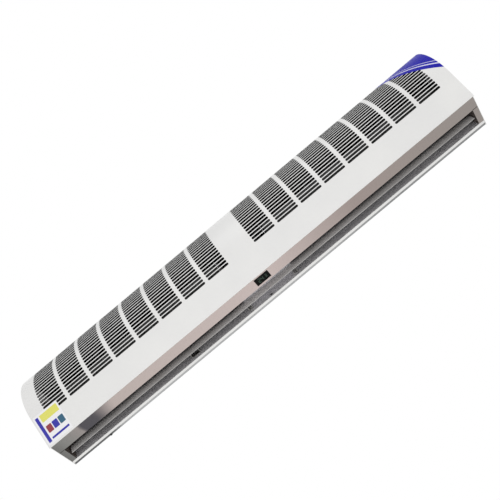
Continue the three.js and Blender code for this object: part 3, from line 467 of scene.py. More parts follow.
cover_coat, tree = new_finish("powder coat with film over one corner")
place = film_place(tree)
covered = add_node(
    tree,
    "ShaderNodeMath",
    settings={"operation": "COMPARE"},
    values={1: FILM_EDGE + FILM_WIDTH / 2, 2: FILM_WIDTH / 2},
    links={0: place.outputs[0]},
)
both = add_node(
    tree,
    "ShaderNodeMixShader",
    links={
        "Fac": covered.outputs[0],
        1: coat_nodes(tree, *WHITE_TONES).outputs[0],
        2: film_nodes(tree, place).outputs[0],
    },
)
put_out(tree, both)
print("film bubbles", BUBBLE_SIZE * 1000, "mm, stripes", len(STRIPES))

# %% [markdown]
# ## Polished stainless strip
#
# The front of the outlet is a strip of stainless steel with a mirror finish. Rolled sheet keeps
# faint lines along its length even when it is polished, and it is never quite flat, so what it
# mirrors comes out softly wavy. Stainless is a warm grey metal, so metallic is 1 and the
# roughness is low. One stretched noise gives the rolling lines, and one broad noise the waves.
# The photographed strip isn't one even tone: it is grey near its ends, pinkish in the middle and
# darker near the left end. These tones are painted reflection of what the strip mirrors. A colour
# ramp laid along X gives that, and the waves soften it.
# The frame is made of a front strip and two end strips, which butt together at the opening's
# corners. A dark line in the colour marks that joint. It is drawn 1.8 mm wide, which is coarser
# than the real gap, because a finer line wouldn't show.

# %% Polished stainless
ROLL_LINE = 0.0008
WAVE_SIZE = 0.07
WAVE_SHARE = 0.03
# Painted reflection: the strip's tones along its length stand for what the mirror shows.
STRIP_REFLECTION_TONES = (
    (0.0, "#868685"),
    (0.03, "#9E9E9C"),
    (0.066, "#B2ABA9"),
    (0.072, "#646269"),
    (0.1, "#68666B"),
    (0.15, "#DACDC9"),
    (0.5, "#E8D9D6"),
    (0.72, "#BAADA9"),
    (1.0, "#AFA8A4"),
)
OPENING_FRONT = 0.0781  # from the wall
OPENING_END = 0.7290  # from the middle
JOINT_LINE = 0.0018


def tones_along(tree, coordinates, waves, tones):
    """A colour ramp laid along the unit, from its left end to its right, a little wavy."""
    split = add_node(tree, "ShaderNodeSeparateXYZ", links={"Vector": coordinates.outputs["Object"]})
    along = add_node(
        tree,
        "ShaderNodeMapRange",
        values={
            "From Min": -LENGTH / 2,
            "From Max": LENGTH / 2,
            "To Min": -WAVE_SHARE / 2,
            "To Max": 1 - WAVE_SHARE / 2,
        },
        links={"Value": split.outputs["X"]},
    )
    along = add_node(
        tree,
        "ShaderNodeMath",
        settings={"operation": "MULTIPLY_ADD"},
        values={1: WAVE_SHARE},
        links={0: waves.outputs["Fac"], 2: along.outputs["Result"]},
    )
    tone = add_node(tree, "ShaderNodeValToRGB", links={"Fac": along.outputs[0]})
    set_tones(tone, tones)
    return tone


polished_strip, tree = new_finish("mirror-polished stainless steel")
coordinates = add_node(tree, "ShaderNodeTexCoord")
stretched = add_node(
    tree,
    "ShaderNodeMapping",
    values={"Scale": (4.0, 1 / ROLL_LINE, 1 / ROLL_LINE)},
    links={"Vector": coordinates.outputs["Object"]},
)
lines = add_node(
    tree,
    "ShaderNodeTexNoise",
    values={"Scale": 1.0, "Detail": 2.0},
    links={"Vector": stretched.outputs["Vector"]},
)
waves = add_node(
    tree,
    "ShaderNodeTexNoise",
    values={"Scale": 1 / WAVE_SIZE, "Detail": 1.0},
    links={"Vector": coordinates.outputs["Object"]},
)
# The tones along the strip are painted reflection.
tone = tones_along(tree, coordinates, waves, STRIP_REFLECTION_TONES)
split = add_node(tree, "ShaderNodeSeparateXYZ", links={"Vector": coordinates.outputs["Object"]})
from_middle = add_node(
    tree, "ShaderNodeMath", settings={"operation": "ABSOLUTE"}, links={0: split.outputs["X"]}
)
past_opening = add_node(
    tree,
    "ShaderNodeMath",
    settings={"operation": "GREATER_THAN"},
    values={1: OPENING_END},
    links={0: from_middle.outputs[0]},
)
on_line = add_node(
    tree,
    "ShaderNodeMath",
    settings={"operation": "COMPARE"},
    values={1: -OPENING_FRONT, 2: JOINT_LINE / 2},
    links={0: split.outputs["Y"]},
)
joint = add_node(
    tree,
    "ShaderNodeMath",
    settings={"operation": "MULTIPLY"},
    links={0: past_opening.outputs[0], 1: on_line.outputs[0]},
)
jointed = add_node(
    tree,
    "ShaderNodeMix",
    settings={"data_type": "RGBA"},
    values={MIX_B: srgb("#3A3938")},
    links={0: joint.outputs[0], MIX_A: tone.outputs["Color"]},
)
gloss = add_node(
    tree,
    "ShaderNodeMapRange",
    values={"To Min": 0.1, "To Max": 0.24},
    links={"Value": lines.outputs["Fac"]},
)
buckle = add_node(
    tree,
    "ShaderNodeBump",
    values={"Strength": 0.25, "Distance": 0.002},
    links={"Height": waves.outputs["Fac"]},
)
steel = add_node(
    tree,
    "ShaderNodeBsdfPrincipled",
    values={"Metallic": 1.0},
    links={
        "Base Color": jointed.outputs[MIX_RESULT],
        "Roughness": gloss.outputs["Result"],
        "Normal": buckle.outputs["Normal"],
    },
)
put_out(tree, steel)
print("rolling lines", ROLL_LINE * 1000, "mm, tones", len(STRIP_REFLECTION_TONES))

# %% [markdown]
# ## Galvanised sheet
#
# The duct, the wall plate, the motor's cradle and the control box are hot-dip galvanised steel.
# The zinc freezes into flat crystals, called spangle, some 9 mm across here, and each one catches
# the light a little differently. A Voronoi texture is made of such cells: its cell colour gives
# every crystal its own grey and its own roughness. The duct looks calm in the photograph, as zinc
# does when it has been rolled once more, so its crystals differ less. The cheeks that close the
# duct's outer ends are dark brown there. That dark brown is painted shade, for the shade at the
# duct's ends.

# %% Galvanised sheet
SPANGLE = 0.009


def spangled_zinc(name, dark, light):
    """Zinc-coated sheet with crystals between two tones."""
    material, tree = new_finish(name)
    coordinates = add_node(tree, "ShaderNodeTexCoord")
    crystals = add_node(
        tree,
        "ShaderNodeTexVoronoi",
        values={"Scale": 1 / SPANGLE},
        links={"Vector": coordinates.outputs["Object"]},
    )
    shade = add_node(tree, "ShaderNodeSeparateColor", links={"Color": crystals.outputs["Color"]})
    tone = add_node(tree, "ShaderNodeValToRGB", links={"Fac": shade.outputs["Red"]})
    set_tones(tone, ((0.0, dark), (1.0, light)))
    gloss = add_node(
        tree,
        "ShaderNodeMapRange",
        values={"To Min": 0.7, "To Max": 0.76},
        links={"Value": shade.outputs["Green"]},
    )
    zinc = add_node(
        tree,
        "ShaderNodeBsdfPrincipled",
        values={"Metallic": 1.0},
        links={"Base Color": tone.outputs["Color"], "Roughness": gloss.outputs["Result"]},
    )
    put_out(tree, zinc)
    return material


galvanised = spangled_zinc("galvanised steel with spangle", "#BDBEC2", "#DBDCDF")
rolled_zinc = spangled_zinc("galvanised steel, skin-passed", "#CFCED1", "#D7D6D9")
# The cheeks' dark brown is painted shade, for the shade at the duct's ends.
shaded_cheek_zinc = spangled_zinc("galvanised steel, dark brown painted shade", "#6A605C", "#78706C")
print("spangle", SPANGLE * 1000, "mm")

# %% [markdown]
# ## Black-lacquered impellers, with painted shade
#
# Behind the slots the photograph is almost black. The impellers are taken as lacquered black
# over sheet metal, and their near-black is mostly painted shade, for the dark inside the case. The
# lacquer is a thin satin film, a little dusty, and dust gathers on blades that have run for a
# while. A noise at the size of dust fluff lifts the black here and there.

# %% Black lacquer and painted shade
DUST_SIZE = 0.012

# The impellers' near-black is mostly painted shade, the dark inside the case.
black_lacquer_and_shade = grained_finish(
    "black lacquered sheet with painted shade",
    DUST_SIZE,
    5.0,
    ((0.45, "#0B0C0D"), (0.75, "#1A1B1D")),
    {"IOR": 1.5},
    gloss=(0.35, 0.6),
)

# %% [markdown]
# ## Plated steel, rubber and acrylic
#
# Screws, shafts and the vane's brackets are steel with a bright zinc plating, slightly uneven
# where it was barrelled. The grommet, hubs and bearing seats are EPDM rubber: nearly black, matt
# and finely grained from the mould. The display's window is smoked acrylic with a polished face,
# black until lit, and wiping has left it a little uneven in gloss.

# %% Zinc-plated steel, EPDM rubber and smoked acrylic
BARREL_MARK = 0.0015
RUBBER_GRAIN = 0.0007
WIPE_MARK = 0.011

plated_steel = grained_finish(
    "zinc-plated steel",
    BARREL_MARK,
    4.0,
    ((0.0, "#9B9A97"), (1.0, "#BDBCB8")),
    {"Metallic": 1.0},
    gloss=(0.22, 0.42),
)
rubber = grained_finish(
    "moulded EPDM rubber",
    RUBBER_GRAIN,
    2.0,
    ((0.0, "#191919"), (1.0, "#272727")),
    {"Roughness": 0.82, "IOR": 1.52},
    relief=(0.4, 0.0001),
)
smoked_acrylic = grained_finish(
    "smoked acrylic",
    WIPE_MARK,
    3.0,
    ((0.0, "#040504"), (1.0, "#0B0D0B")),
    {"IOR": 1.49, "Specular IOR Level": 0.12},
    gloss=(0.2, 0.34),
)

# %% [markdown]
# ## Enamel, circuit board and moulded plastic
#
# The motor's shell is dipped in grey enamel. The boards are glass-epoxy laminate under green
# solder mask, with copper tracks that show as slightly lighter lines. The vane's clips, the
# terminal block and the capacitor's case are moulded plastic with a fine spark-eroded grain.

# %% Motor enamel and moulded nylon
ENAMEL_PEEL = 0.003
SPARK_GRAIN = 0.0005

motor_enamel = grained_finish(
    "grey motor enamel",
    ENAMEL_PEEL,
    2.0,
    ((0.0, "#34373A"), (1.0, "#414548")),
    {"Roughness": 0.4, "IOR": 1.5},
    relief=(0.3, 0.0002),
)


def moulded_nylon(name, dark, light):
    """A nylon with a spark-eroded grain, between two tones."""
    tones = ((0.0, dark), (1.0, light))
    values = {"Roughness": 0.5, "IOR": 1.53}
    return grained_finish(name, SPARK_GRAIN, 2.0, tones, values, relief=(0.25, 0.00008))


white_nylon = moulded_nylon("moulded white nylon", "#CFCFCA", "#DCDCD8")
black_nylon = moulded_nylon("moulded black nylon", "#121213", "#1E1E20")

# %% Solder mask
TRACK_PITCH = 0.0025
TRACKS_A_BRICK = 4

solder_mask, tree = new_finish("green solder mask on laminate")
coordinates = add_node(tree, "ShaderNodeTexCoord")
tracks = add_node(
    tree,
    "ShaderNodeTexBrick",
    values={
        "Scale": 1 / (TRACKS_A_BRICK * TRACK_PITCH),
        "Color1": srgb("#1F5233"),
        "Color2": srgb("#234F35"),
        "Mortar": srgb("#2F7A4B"),
        "Mortar Size": 0.04,
    },
    links={"Vector": coordinates.outputs["Object"]},
)
mask = add_node(
    tree,
    "ShaderNodeBsdfPrincipled",
    values={"Roughness": 0.35, "IOR": 1.55},
    links={"Base Color": tracks.outputs["Color"]},
)
put_out(tree, mask)
print("materials:", len(bpy.data.materials))

# %% [markdown]
# ## Dressing the solids
#
# Most solids already have the right shape. They keep it and get a finish, and a small bevel
# modifier breaks their edges, because even a sheared sheet edge is never perfectly sharp and
# the thin bright line that it gives is what makes metal look solid. Faces that meet at a shallow
# angle are smoothed, so that round pieces look round.

# %% Finish and soften the solids that stay
SHEET_BREAK = 0.00025
MOULD_BREAK = 0.0004
BREAK_OVER = math.radians(40)
SMOOTH_UNDER = math.radians(35)


def smooth(mesh):
    """Smooths the faces that meet at a shallow angle."""
    mesh.shade_smooth()
    mesh.set_sharp_from_angle(angle=SMOOTH_UNDER)


def dress(names, finish, edge_break):
    """Gives solids a finish and a broken edge."""
    for name in names:
        solid = nodes[name]
        solid.data.materials.clear()
        solid.data.materials.append(finish)
        smooth(solid.data)
        softened = solid.modifiers.new("edge_break", "BEVEL")
        softened.width = edge_break
        softened.segments = 2
        softened.limit_method = "ANGLE"
        softened.angle_limit = BREAK_OVER
        softened.harden_normals = True
    print(finish.name, "on", len(names), "solids")


def ends(*names):
    """The left and right copies of pieces."""
    return [f"{name}_{side}" for name in names for side in ("left", "right")]


BRACKETS = ["inner_left", "inner_right", "mid_left"]
hidden_zinc = ["wall_plate", "motor_cradle", "control_box", "control_lid"]
clips = [f"vane_clip_{where}" for where in BRACKETS] + ends("vane_clip_end")
dress(["rear_case"] + ends("end_plate"), powder_coat, SHEET_BREAK)
dress(["outlet_frame"], polished_strip, SHEET_BREAK)
dress(hidden_zinc + ends("motor_clamp", "bearing_cup"), galvanised, SHEET_BREAK)
dress(["blanking_plate"] + ends("scroll", "tongue", "inner_cheek"), rolled_zinc, SHEET_BREAK)
# The outer cheeks carry a dark brown of painted shade.
dress(ends("outer_cheek"), shaded_cheek_zinc, SHEET_BREAK)
dress([f"vane_bracket_{where}" for where in BRACKETS], plated_steel, SHEET_BREAK)
dress(["motor_shaft"] + ends("stub_shaft", "end_bearing"), plated_steel, SHEET_BREAK)
dress(["cable_grommet"] + ends("motor_ring", "wheel_hub", "bearing_seat"), rubber, MOULD_BREAK)
dress(["display_module", "ir_receiver"], smoked_acrylic, MOULD_BREAK)
dress(["motor_body"], motor_enamel, MOULD_BREAK)
dress(["display_board", "control_board"], solder_mask, SHEET_BREAK)
dress(clips, black_nylon, MOULD_BREAK)
dress(["capacitor", "terminal_block"], white_nylon, MOULD_BREAK)

# %% [markdown]
# ## The lip of the rear case
#
# The photograph shows a grey line behind the white lip, along the unit's rear edge. It is taken
# for bare sheet, where masking has kept the powder off the flange that lies against the wall.
# One material holds both, and the distance from the wall picks between them. The bare part is
# darker near the left end, as painted shade, and a little darker towards its right end, so its
# tones are laid along the unit as the polished strip's are.

# %% Lip and flange
COAT_ENDS = 0.0200
FLANGE_RISE = 0.003
FLANGE_MARGIN = 0.0001
FACES_DOWN = 0.9
# Painted shade: the bare part darkens near the left end.
BARE_AND_SHADE_TONES = (
    (0.0, "#7E7F80"),
    (0.1, "#828384"),
    (0.125, "#C4C5C6"),
    (0.6, "#C4C5C6"),
    (0.78, "#A8A9AA"),
)

lip_coat, tree = new_finish("white powder coat, masked towards the wall")
coordinates = add_node(tree, "ShaderNodeTexCoord")
split = add_node(tree, "ShaderNodeSeparateXYZ", links={"Vector": coordinates.outputs["Object"]})
sprayed = add_node(
    tree,
    "ShaderNodeMath",
    settings={"operation": "LESS_THAN"},
    values={1: -COAT_ENDS},
    links={0: split.outputs["Y"]},
)
# This noise makes the tones along the flange wavy; the dark left end among them is painted shade.
flange_ramp_jitter = add_node(
    tree,
    "ShaderNodeTexNoise",
    values={"Scale": 1 / SPANGLE, "Detail": 2.0},
    links={"Vector": coordinates.outputs["Object"]},
)
bare_and_shade_tone = tones_along(tree, coordinates, flange_ramp_jitter, BARE_AND_SHADE_TONES)
bare_zinc_and_shade = add_node(
    tree,
    "ShaderNodeBsdfPrincipled",
    values={"Metallic": 1.0, "Roughness": 0.73},
    links={"Base Color": bare_and_shade_tone.outputs["Color"]},
)
both = add_node(
    tree,
    "ShaderNodeMixShader",
    links={
        "Fac": sprayed.outputs[0],
        1: bare_zinc_and_shade.outputs[0],
        2: coat_nodes(tree, *WHITE_TONES).outputs[0],
    },
)
put_out(tree, both)

rear_case = nodes["rear_case"]
rear_case.data.materials.append(lip_coat)
lip_faces = 0
for polygon in rear_case.data.polygons:
    rise = (rear_case.matrix_world @ polygon.center).z - UNDERSIDE
    if abs(polygon.normal.z) > FACES_DOWN and rise < FLANGE_RISE + FLANGE_MARGIN:
        polygon.material_index = 1
        lip_faces += 1
print("lip and flange faces", lip_faces)

# %% [markdown]
# ## Making new pieces
#
# A finer piece is built as a bmesh, turned into an object, given its finish and hung on the body
# that it moves with. One function does that for all of them. Another joins two matching loops of
# points into a solid, and so runs a section along X, which is how nearly every piece of this
# product is made: rolled, folded or extruded.

# %% Piece helpers
def object_of(name, shape):
    """Turns a bmesh into an object of the scene, with its faces turned outwards."""
    bmesh.ops.recalc_face_normals(shape, faces=shape.faces)
    mesh = bpy.data.meshes.new(name)
    shape.to_mesh(mesh)
    shape.free()
    item = bpy.data.objects.new(name, mesh)
    bpy.context.scene.collection.objects.link(item)
    return item


def add_piece(name, shape, finish, body):
    """Makes an object of a bmesh, smooths it and lets it ride on a body."""
    piece = object_of(name, shape)
    smooth(piece.data)
    piece.data.materials.append(finish)
    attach(piece, body)
    return piece


def prism(shape, first, last):
    """Joins two loops of matching points with sides, and caps both."""
    low = [shape.verts.new(point) for point in first]
    high = [shape.verts.new(point) for point in last]
    count = len(low)
    for i in range(count):
        j = (i + 1) % count
        shape.faces.new((low[i], low[j], high[j], high[i]))
    shape.faces.new(low[::-1])
    shape.faces.new(high)


def run_section(shape, outline, from_x, to_x):
    """Runs a closed outline of (Y, Z) points along X and caps both ends."""
    prism(shape, *([(x, y, z) for y, z in outline] for x in (from_x, to_x)))


def apply_modifiers(piece):
    """Bakes a piece's modifiers into its mesh and smooths the result."""
    graph = bpy.context.evaluated_depsgraph_get()
    mesh = bpy.data.meshes.new_from_object(piece.evaluated_get(graph))
    piece.modifiers.clear()
    piece.data = mesh
    smooth(mesh)


# %% [markdown]
# ## The slotted cover
#
# The cover is one sheet, punched flat and then rolled. From its lower edge a flat fascia leans
# out at about 48 degrees, then the sheet rolls through a large arc, turns a tight corner and
# runs back to the wall over the top. A punch leaves slots with round ends, and a rounded slot
# can't be had from a grid of squares, so the sheet is laid out as a grid whose columns fall
# exactly on the points of the slots' ends. Each slot is then an opening in that grid, the grid
# is bent onto the profile, and a solidify modifier gives the sheet its thickness inwards.

# %% Cover: the sizes
COVER_SHEET = 0.0008
FASCIA_SLOPE = math.radians(47.8)
BELLY_RADIUS = 0.138
CORNER_RADIUS = 0.015
FIRST_ROW = 0.0808
ROW_PITCH = 0.0097
FLAT_ROWS = 2
SLOT_LENGTH = 0.0726
SLOT_HEIGHT = 0.0072
PANEL_GAP = 0.0109
CENTRE_BLANK = 0.0922
PANELS_A_SIDE = 8
CORNER_STEPS = 10
DEPTH = 0.212

cover = span("front_cover")
top_height = cover["height"][1]
fascia_length = FIRST_ROW + (FLAT_ROWS - 0.5) * ROW_PITCH
belly_depth = DEPTH - BELLY_RADIUS
fascia_run = fascia_length * math.cos(FASCIA_SLOPE)
fascia_rise = fascia_length * math.sin(FASCIA_SLOPE)
front_edge = belly_depth + BELLY_RADIUS * math.sin(FASCIA_SLOPE) - fascia_run
belly_height = fascia_rise + BELLY_RADIUS * math.cos(FASCIA_SLOPE)
corner_shift = BELLY_RADIUS - CORNER_RADIUS
belly_end = math.acos((belly_height + CORNER_RADIUS - top_height) / corner_shift)
row_angle = ROW_PITCH / BELLY_RADIUS
belly_rows = int((belly_end - FASCIA_SLOPE) / row_angle)
print("rows", FLAT_ROWS + belly_rows, "front edge", round(front_edge, 4), "m from the wall")

# %% Cover: the profile and the slot columns
def cover_profile():
    """Points up the cover, and which of the bands between them are punched."""
    lean = (math.cos(FASCIA_SLOPE), math.sin(FASCIA_SLOPE))
    points = [(front_edge, 0.0)]
    punched = []
    for row in range(FLAT_ROWS):
        along = FIRST_ROW + (row - 0.5) * ROW_PITCH
        points.append((front_edge + along * lean[0], along * lean[1]))
        punched.append(row > 0)
    for row in range(belly_rows + 1):
        turn = FASCIA_SLOPE + row * row_angle
        belly = (BELLY_RADIUS * math.sin(turn), BELLY_RADIUS * math.cos(turn))
        points.append((belly_depth + belly[0], belly_height - belly[1]))
        punched.append(True)
    corner_depth = belly_depth + corner_shift * math.sin(belly_end)
    corner_height = belly_height - corner_shift * math.cos(belly_end)
    for step in range(CORNER_STEPS + 1):
        turn = belly_end + (math.pi - belly_end) * step / CORNER_STEPS
        corner = (CORNER_RADIUS * math.sin(turn), CORNER_RADIUS * math.cos(turn))
        points.append((corner_depth + corner[0], corner_height - corner[1]))
        punched.append(False)
    points.append((cover["depth"][0], top_height))
    punched.append(False)
    return points, punched


END_STEPS = 4
slot_starts = []
for panel in range(PANELS_A_SIDE):
    near = CENTRE_BLANK / 2 + panel * (SLOT_LENGTH + PANEL_GAP)
    slot_starts += [near, -near - SLOT_LENGTH]
slot_starts.sort()

end_radius = SLOT_HEIGHT / 2
quarter_turns = [math.pi / 2 * step / END_STEPS for step in range(END_STEPS + 1)]
inwards = [end_radius * (1 - math.cos(turn)) for turn in quarter_turns]


def half_width_at(x, start):
    """Half the slot's height at X: it runs out to nothing at the tips of the round ends."""
    inward = min(x - start, start + SLOT_LENGTH - x)
    if inward >= end_radius:
        return end_radius
    return math.sqrt(max(end_radius**2 - (end_radius - inward) ** 2, 0))


end_rim = span("end_plate_right")["x"][1]
columns = [cover["x"][0], cover["x"][1], -end_rim, end_rim]
for start in slot_starts:
    columns += [start + inward for inward in inwards]
    columns += [start + SLOT_LENGTH - inward for inward in inwards]
columns.sort()
print("panels", len(slot_starts), "columns", len(columns))

# %% Cover: build the sheet
TIP = 1e-6
profile, punched = cover_profile()
climbs = [0.0]
for before, after in zip(profile, profile[1:]):
    climbs.append(climbs[-1] + math.dist(before, after))
sheet = bmesh.new()
lines = []
climb_of = {}
for (depth, height), climb in zip(profile, climbs):
    y, z = at(depth, height)
    line = [sheet.verts.new((x, y, z)) for x in columns]
    climb_of.update((vert, climb) for vert in line)
    lines.append(line)


def slot_of(x_low, x_high):
    """The slot that a column lies in, or None."""
    middle = (x_low + x_high) / 2
    for start in slot_starts:
        if start < middle < start + SLOT_LENGTH:
            return start
    return None


def fill_band(shape, low_line, high_line, is_punched):
    """Faces between two lines of the grid, round the slots where the band is punched."""
    rims = {}

    def rim(index, start):
        """The slot's two rim points in a column, or its one tip."""
        key = (index, start)
        if key not in rims:
            low, high = low_line[index].co, high_line[index].co
            half_width = half_width_at(columns[index], start)
            middle = (low + high) / 2
            climb = (climb_of[low_line[index]] + climb_of[high_line[index]]) / 2
            reach = (high - low).normalized() * half_width
            if half_width < TIP:
                tip = shape.verts.new(middle)
                rims[key] = (tip, tip)
                climb_of[tip] = climb
            else:
                rims[key] = (shape.verts.new(middle - reach), shape.verts.new(middle + reach))
                climb_of[rims[key][0]] = climb - half_width
                climb_of[rims[key][1]] = climb + half_width
        return rims[key]

    slots = [None] * (len(columns) - 1)
    if is_punched:
        slots = [slot_of(left, right) for left, right in zip(columns, columns[1:])]
    for i, start in enumerate(slots):
        corners = [low_line[i], low_line[i + 1], high_line[i + 1], high_line[i]]
        if start is not None:
            before, after = rim(i, start), rim(i + 1, start)
            lower = [low_line[i], low_line[i + 1], after[0], before[0]]
            upper = [before[1], after[1], high_line[i + 1], high_line[i]]
            shape.faces.new(list(dict.fromkeys(lower)))
            shape.faces.new(list(dict.fromkeys(upper)))
            continue
        if i + 1 < len(slots) and slots[i + 1] is not None:
            corners.insert(2, rim(i + 1, slots[i + 1])[0])
        if i > 0 and slots[i - 1] is not None:
            corners.append(rim(i, slots[i - 1])[0])
        shape.faces.new(corners)


for low_line, high_line, is_punched in zip(lines, lines[1:], punched):
    fill_band(sheet, low_line, high_line, is_punched)


def lay_flat(shape):
    """Writes each point's place on the flat blank, along X and up the sheet, as its UV."""
    layer = shape.loops.layers.uv.new("blank")
    for face in shape.faces:
        for loop in face.loops:
            loop[layer].uv = (loop.vert.co.x, climb_of[loop.vert])


def thicken_inwards(piece, thickness):
    """Gives a sheet its thickness on the side that faces away from the front."""
    modifier = piece.modifiers.new("thickness", "SOLIDIFY")
    modifier.thickness = thickness
    modifier.offset = -1 if piece.data.polygons[0].normal.y < 0 else 1
    return modifier


lay_flat(sheet)
slotted_cover = add_piece("slotted_cover", sheet, cover_coat, "case")
slotted_cover.data.materials.append(back_coat_and_shade)
thicken = thicken_inwards(slotted_cover, COVER_SHEET)
thicken.use_even_offset = True
thicken.material_offset = 1
thicken.material_offset_rim = 1
apply_modifiers(slotted_cover)

# The coat goes round the sheet's outer edges, up to the end plates. The slots' edges and the inner
# face stay black: a back coat, which also stands as painted shade for the dark inside the case.
for polygon in slotted_cover.data.polygons:
    if abs(polygon.center.x) > end_rim or polygon.center.z < UNDERSIDE + COVER_SHEET:
        polygon.material_index = 0
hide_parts("front_cover")
print("cover faces", len(slotted_cover.data.polygons))

# %% [markdown]
# Where the film crosses the slots it has to be a sheet of its own. It follows the same profile,
# sunk a little into the cover's thickness, so it shows in the slots only and nothing stands proud.

# %% Film over the slots
FILM_SUNK = 0.00012
FILM_THICK = 0.0001
FILM_ENDS = 0.1  # from the wall: the flat top has no slots
FILM_LEAST = SLOT_LENGTH / 4


def inset_profile(inset):
    """The profile's points moved into the sheet along their normals."""
    moved = []
    for i, point in enumerate(profile):
        before, after = profile[max(i - 1, 0)], profile[min(i + 1, len(profile) - 1)]
        run = (after[0] - before[0], after[1] - before[1])
        length = math.hypot(*run)
        moved.append((point[0] - run[1] / length * inset, point[1] + run[0] / length * inset))
    return moved


shape = bmesh.new()
climb_of = {}
rows = []
for (depth, height), climb in zip(inset_profile(FILM_SUNK), climbs):
    start = (FILM_EDGE - climb) / FILM_SLOPE
    if start < cover["x"][1] - FILM_LEAST and depth > FILM_ENDS:
        y, z = at(depth, height)
        row = [shape.verts.new((x, y, z)) for x in (start, cover["x"][1] - COVER_SHEET)]
        climb_of.update((vert, climb) for vert in row)
        rows.append(row)
for low, high in zip(rows, rows[1:]):
    shape.faces.new((low[0], low[1], high[1], high[0]))
lay_flat(shape)
slot_film = add_piece("slot_film", shape, blue_film, "case")
thicken_inwards(slot_film, FILM_THICK)
apply_modifiers(slot_film)
print("film rows", len(rows))

# %% [markdown]
# ## A printed label
#
# Low on the left the fascia carries a printed label, which covers the ends of the two lowest
# slots. This one has a plain layout of its own: a white base, a blue bar down one side, a yellow
# band, three small blocks of colour and a thin rule. A screen print is a vinyl film with an even
# layer of ink for each colour, so each colour is a thin rounded patch of its own, a hair above
# the base. That part of the fascia is flat, so a patch needs only its place on the blank.

# %% Label: inks and patches
INK_GRAIN = 0.003
PATCH_STEPS = 4


def screen_ink(name, dark, light):
    """Printed vinyl between two tones."""
    tones = ((0.0, dark), (1.0, light))
    return grained_finish(name, INK_GRAIN, 3.0, tones, {"Roughness": 0.4, "IOR": 1.5})


def fascia_point(x, climb, lift):
    """A point of the flat part of the fascia, lifted off it."""
    lean = (math.cos(FASCIA_SLOPE), math.sin(FASCIA_SLOPE))
    depth = front_edge + climb * lean[0] + lift * lean[1]
    return (x, *at(depth, climb * lean[1] - lift * lean[0]))


def patch(name, finish, x_range, climb_range, lifts, round_off):
    """A thin rounded patch on the fascia."""
    left, right_side = x_range[0] + round_off, x_range[1] - round_off
    low, high = climb_range[0] + round_off, climb_range[1] - round_off
    outline = []
    middles = ((right_side, high), (left, high), (left, low), (right_side, low))
    for quarter, (x, climb) in enumerate(middles):
        for step in range(PATCH_STEPS + 1):
            turn = math.pi / 2 * (quarter + step / PATCH_STEPS)
            outline.append((x + round_off * math.cos(turn), climb + round_off * math.sin(turn)))
    shape = bmesh.new()
    prism(shape, *([fascia_point(*point, lift) for point in outline] for lift in lifts))
    return add_piece(name, shape, finish, "case")


# %% Label: lay it out
LABEL_BITE = 0.00005
LABEL_THICK = 0.0001
INK_THICK = 0.00004
BASE_X = (-0.746, -0.661)
BASE_CLIMB = (0.006, 0.097)
BASE_CORNER = 0.003
SIDE_BAR_X = (-0.741, -0.731)
SIDE_BAR_CLIMB = (0.012, 0.091)
THIN_CORNER = 0.0005
BAND_X = (-0.726, -0.666)
BAND_CLIMB = (0.069, 0.091)
BAND_CORNER = 0.001
RULE_CLIMB = (0.015, 0.021)
BLOCK_CLIMB = (0.034, 0.056)
BLOCK_WIDTH = 0.018
BLOCK_PITCH = 0.021
BLOCK_CORNER = 0.002

base_lifts = (-LABEL_BITE, LABEL_THICK)
ink_lifts = (LABEL_THICK / 2, LABEL_THICK + INK_THICK)
white_vinyl = screen_ink("white vinyl label", "#E6E6EA", "#EFEFF1")
yellow_ink = screen_ink("yellow screen ink", "#D6D360", "#E4E276")
blue_ink = screen_ink("blue screen ink", "#2B289C", "#3835AA")
red_ink = screen_ink("red screen ink", "#8A2F3D", "#9A3E4B")
teal_ink = screen_ink("teal screen ink", "#2A5772", "#376782")
patch("label_base", white_vinyl, BASE_X, BASE_CLIMB, base_lifts, BASE_CORNER)
patch("label_bar", blue_ink, SIDE_BAR_X, SIDE_BAR_CLIMB, ink_lifts, THIN_CORNER)
patch("label_band", yellow_ink, BAND_X, BAND_CLIMB, ink_lifts, BAND_CORNER)
patch("label_rule", blue_ink, BAND_X, RULE_CLIMB, ink_lifts, THIN_CORNER)
for i, ink in enumerate((red_ink, blue_ink, teal_ink)):
    block_x = (BAND_X[0] + i * BLOCK_PITCH, BAND_X[0] + i * BLOCK_PITCH + BLOCK_WIDTH)
    patch(f"label_block_{i + 1}", ink, block_x, BLOCK_CLIMB, ink_lifts, BLOCK_CORNER)
print("label", round(BASE_X[1] - BASE_X[0], 4), "m wide")

# %% [markdown]
# ## The impellers
#
# A cross-flow impeller is a long drum of curved blades. They are too thin to stand over 60 cm on
# their own, so stiffening rings join them every 8 cm or so. The solids have fewer blades and one
# ring each, to stay light. Here each drum has the number that such wheels have: blades run as a
# section along X, and rings and end discs are flat annuli.

# %% Impellers
BLADES = 36
BLADE_DEPTH = 0.0124
BLADE_SHEET = 0.0007
BLADE_LEAN = 0.25
BLADE_RIM = 0.0008
BLADE_STEPS = 5
RING_WIDTH = 0.014
RING_SPACING = 0.08
DISC_SHEET = 0.002
ROUND_STEPS = 48
HUB_HOLE = 0.0123
STUB_HOLE = 0.010

axis_places = {joint["name"]: joint["pos_m"] for joint in frame["joints"]}
spin = axis_places["impeller_spin"]
wheel = span("impeller_right")
# The solid's rim has flat facets, so its box is a little smaller than the drum.
RIM_FACETS = 20
wheel_radius = (wheel["depth"][1] - wheel["depth"][0]) / 2 / math.cos(math.pi / RIM_FACETS)


def blade_outline(turn):
    """One blade in section: a thin crescent, curved forward."""
    tip = wheel_radius - BLADE_RIM
    face = []
    for step in range(BLADE_STEPS + 1):
        share = step / BLADE_STEPS
        radius = tip - BLADE_DEPTH * (1 - share)
        angle = turn + BLADE_LEAN * share * share
        face.append((radius, angle))
    other = [(radius, angle + BLADE_SHEET / radius) for radius, angle in reversed(face)]
    return [(spin[1] - r * math.cos(a), spin[2] + r * math.sin(a)) for r, a in face + other]


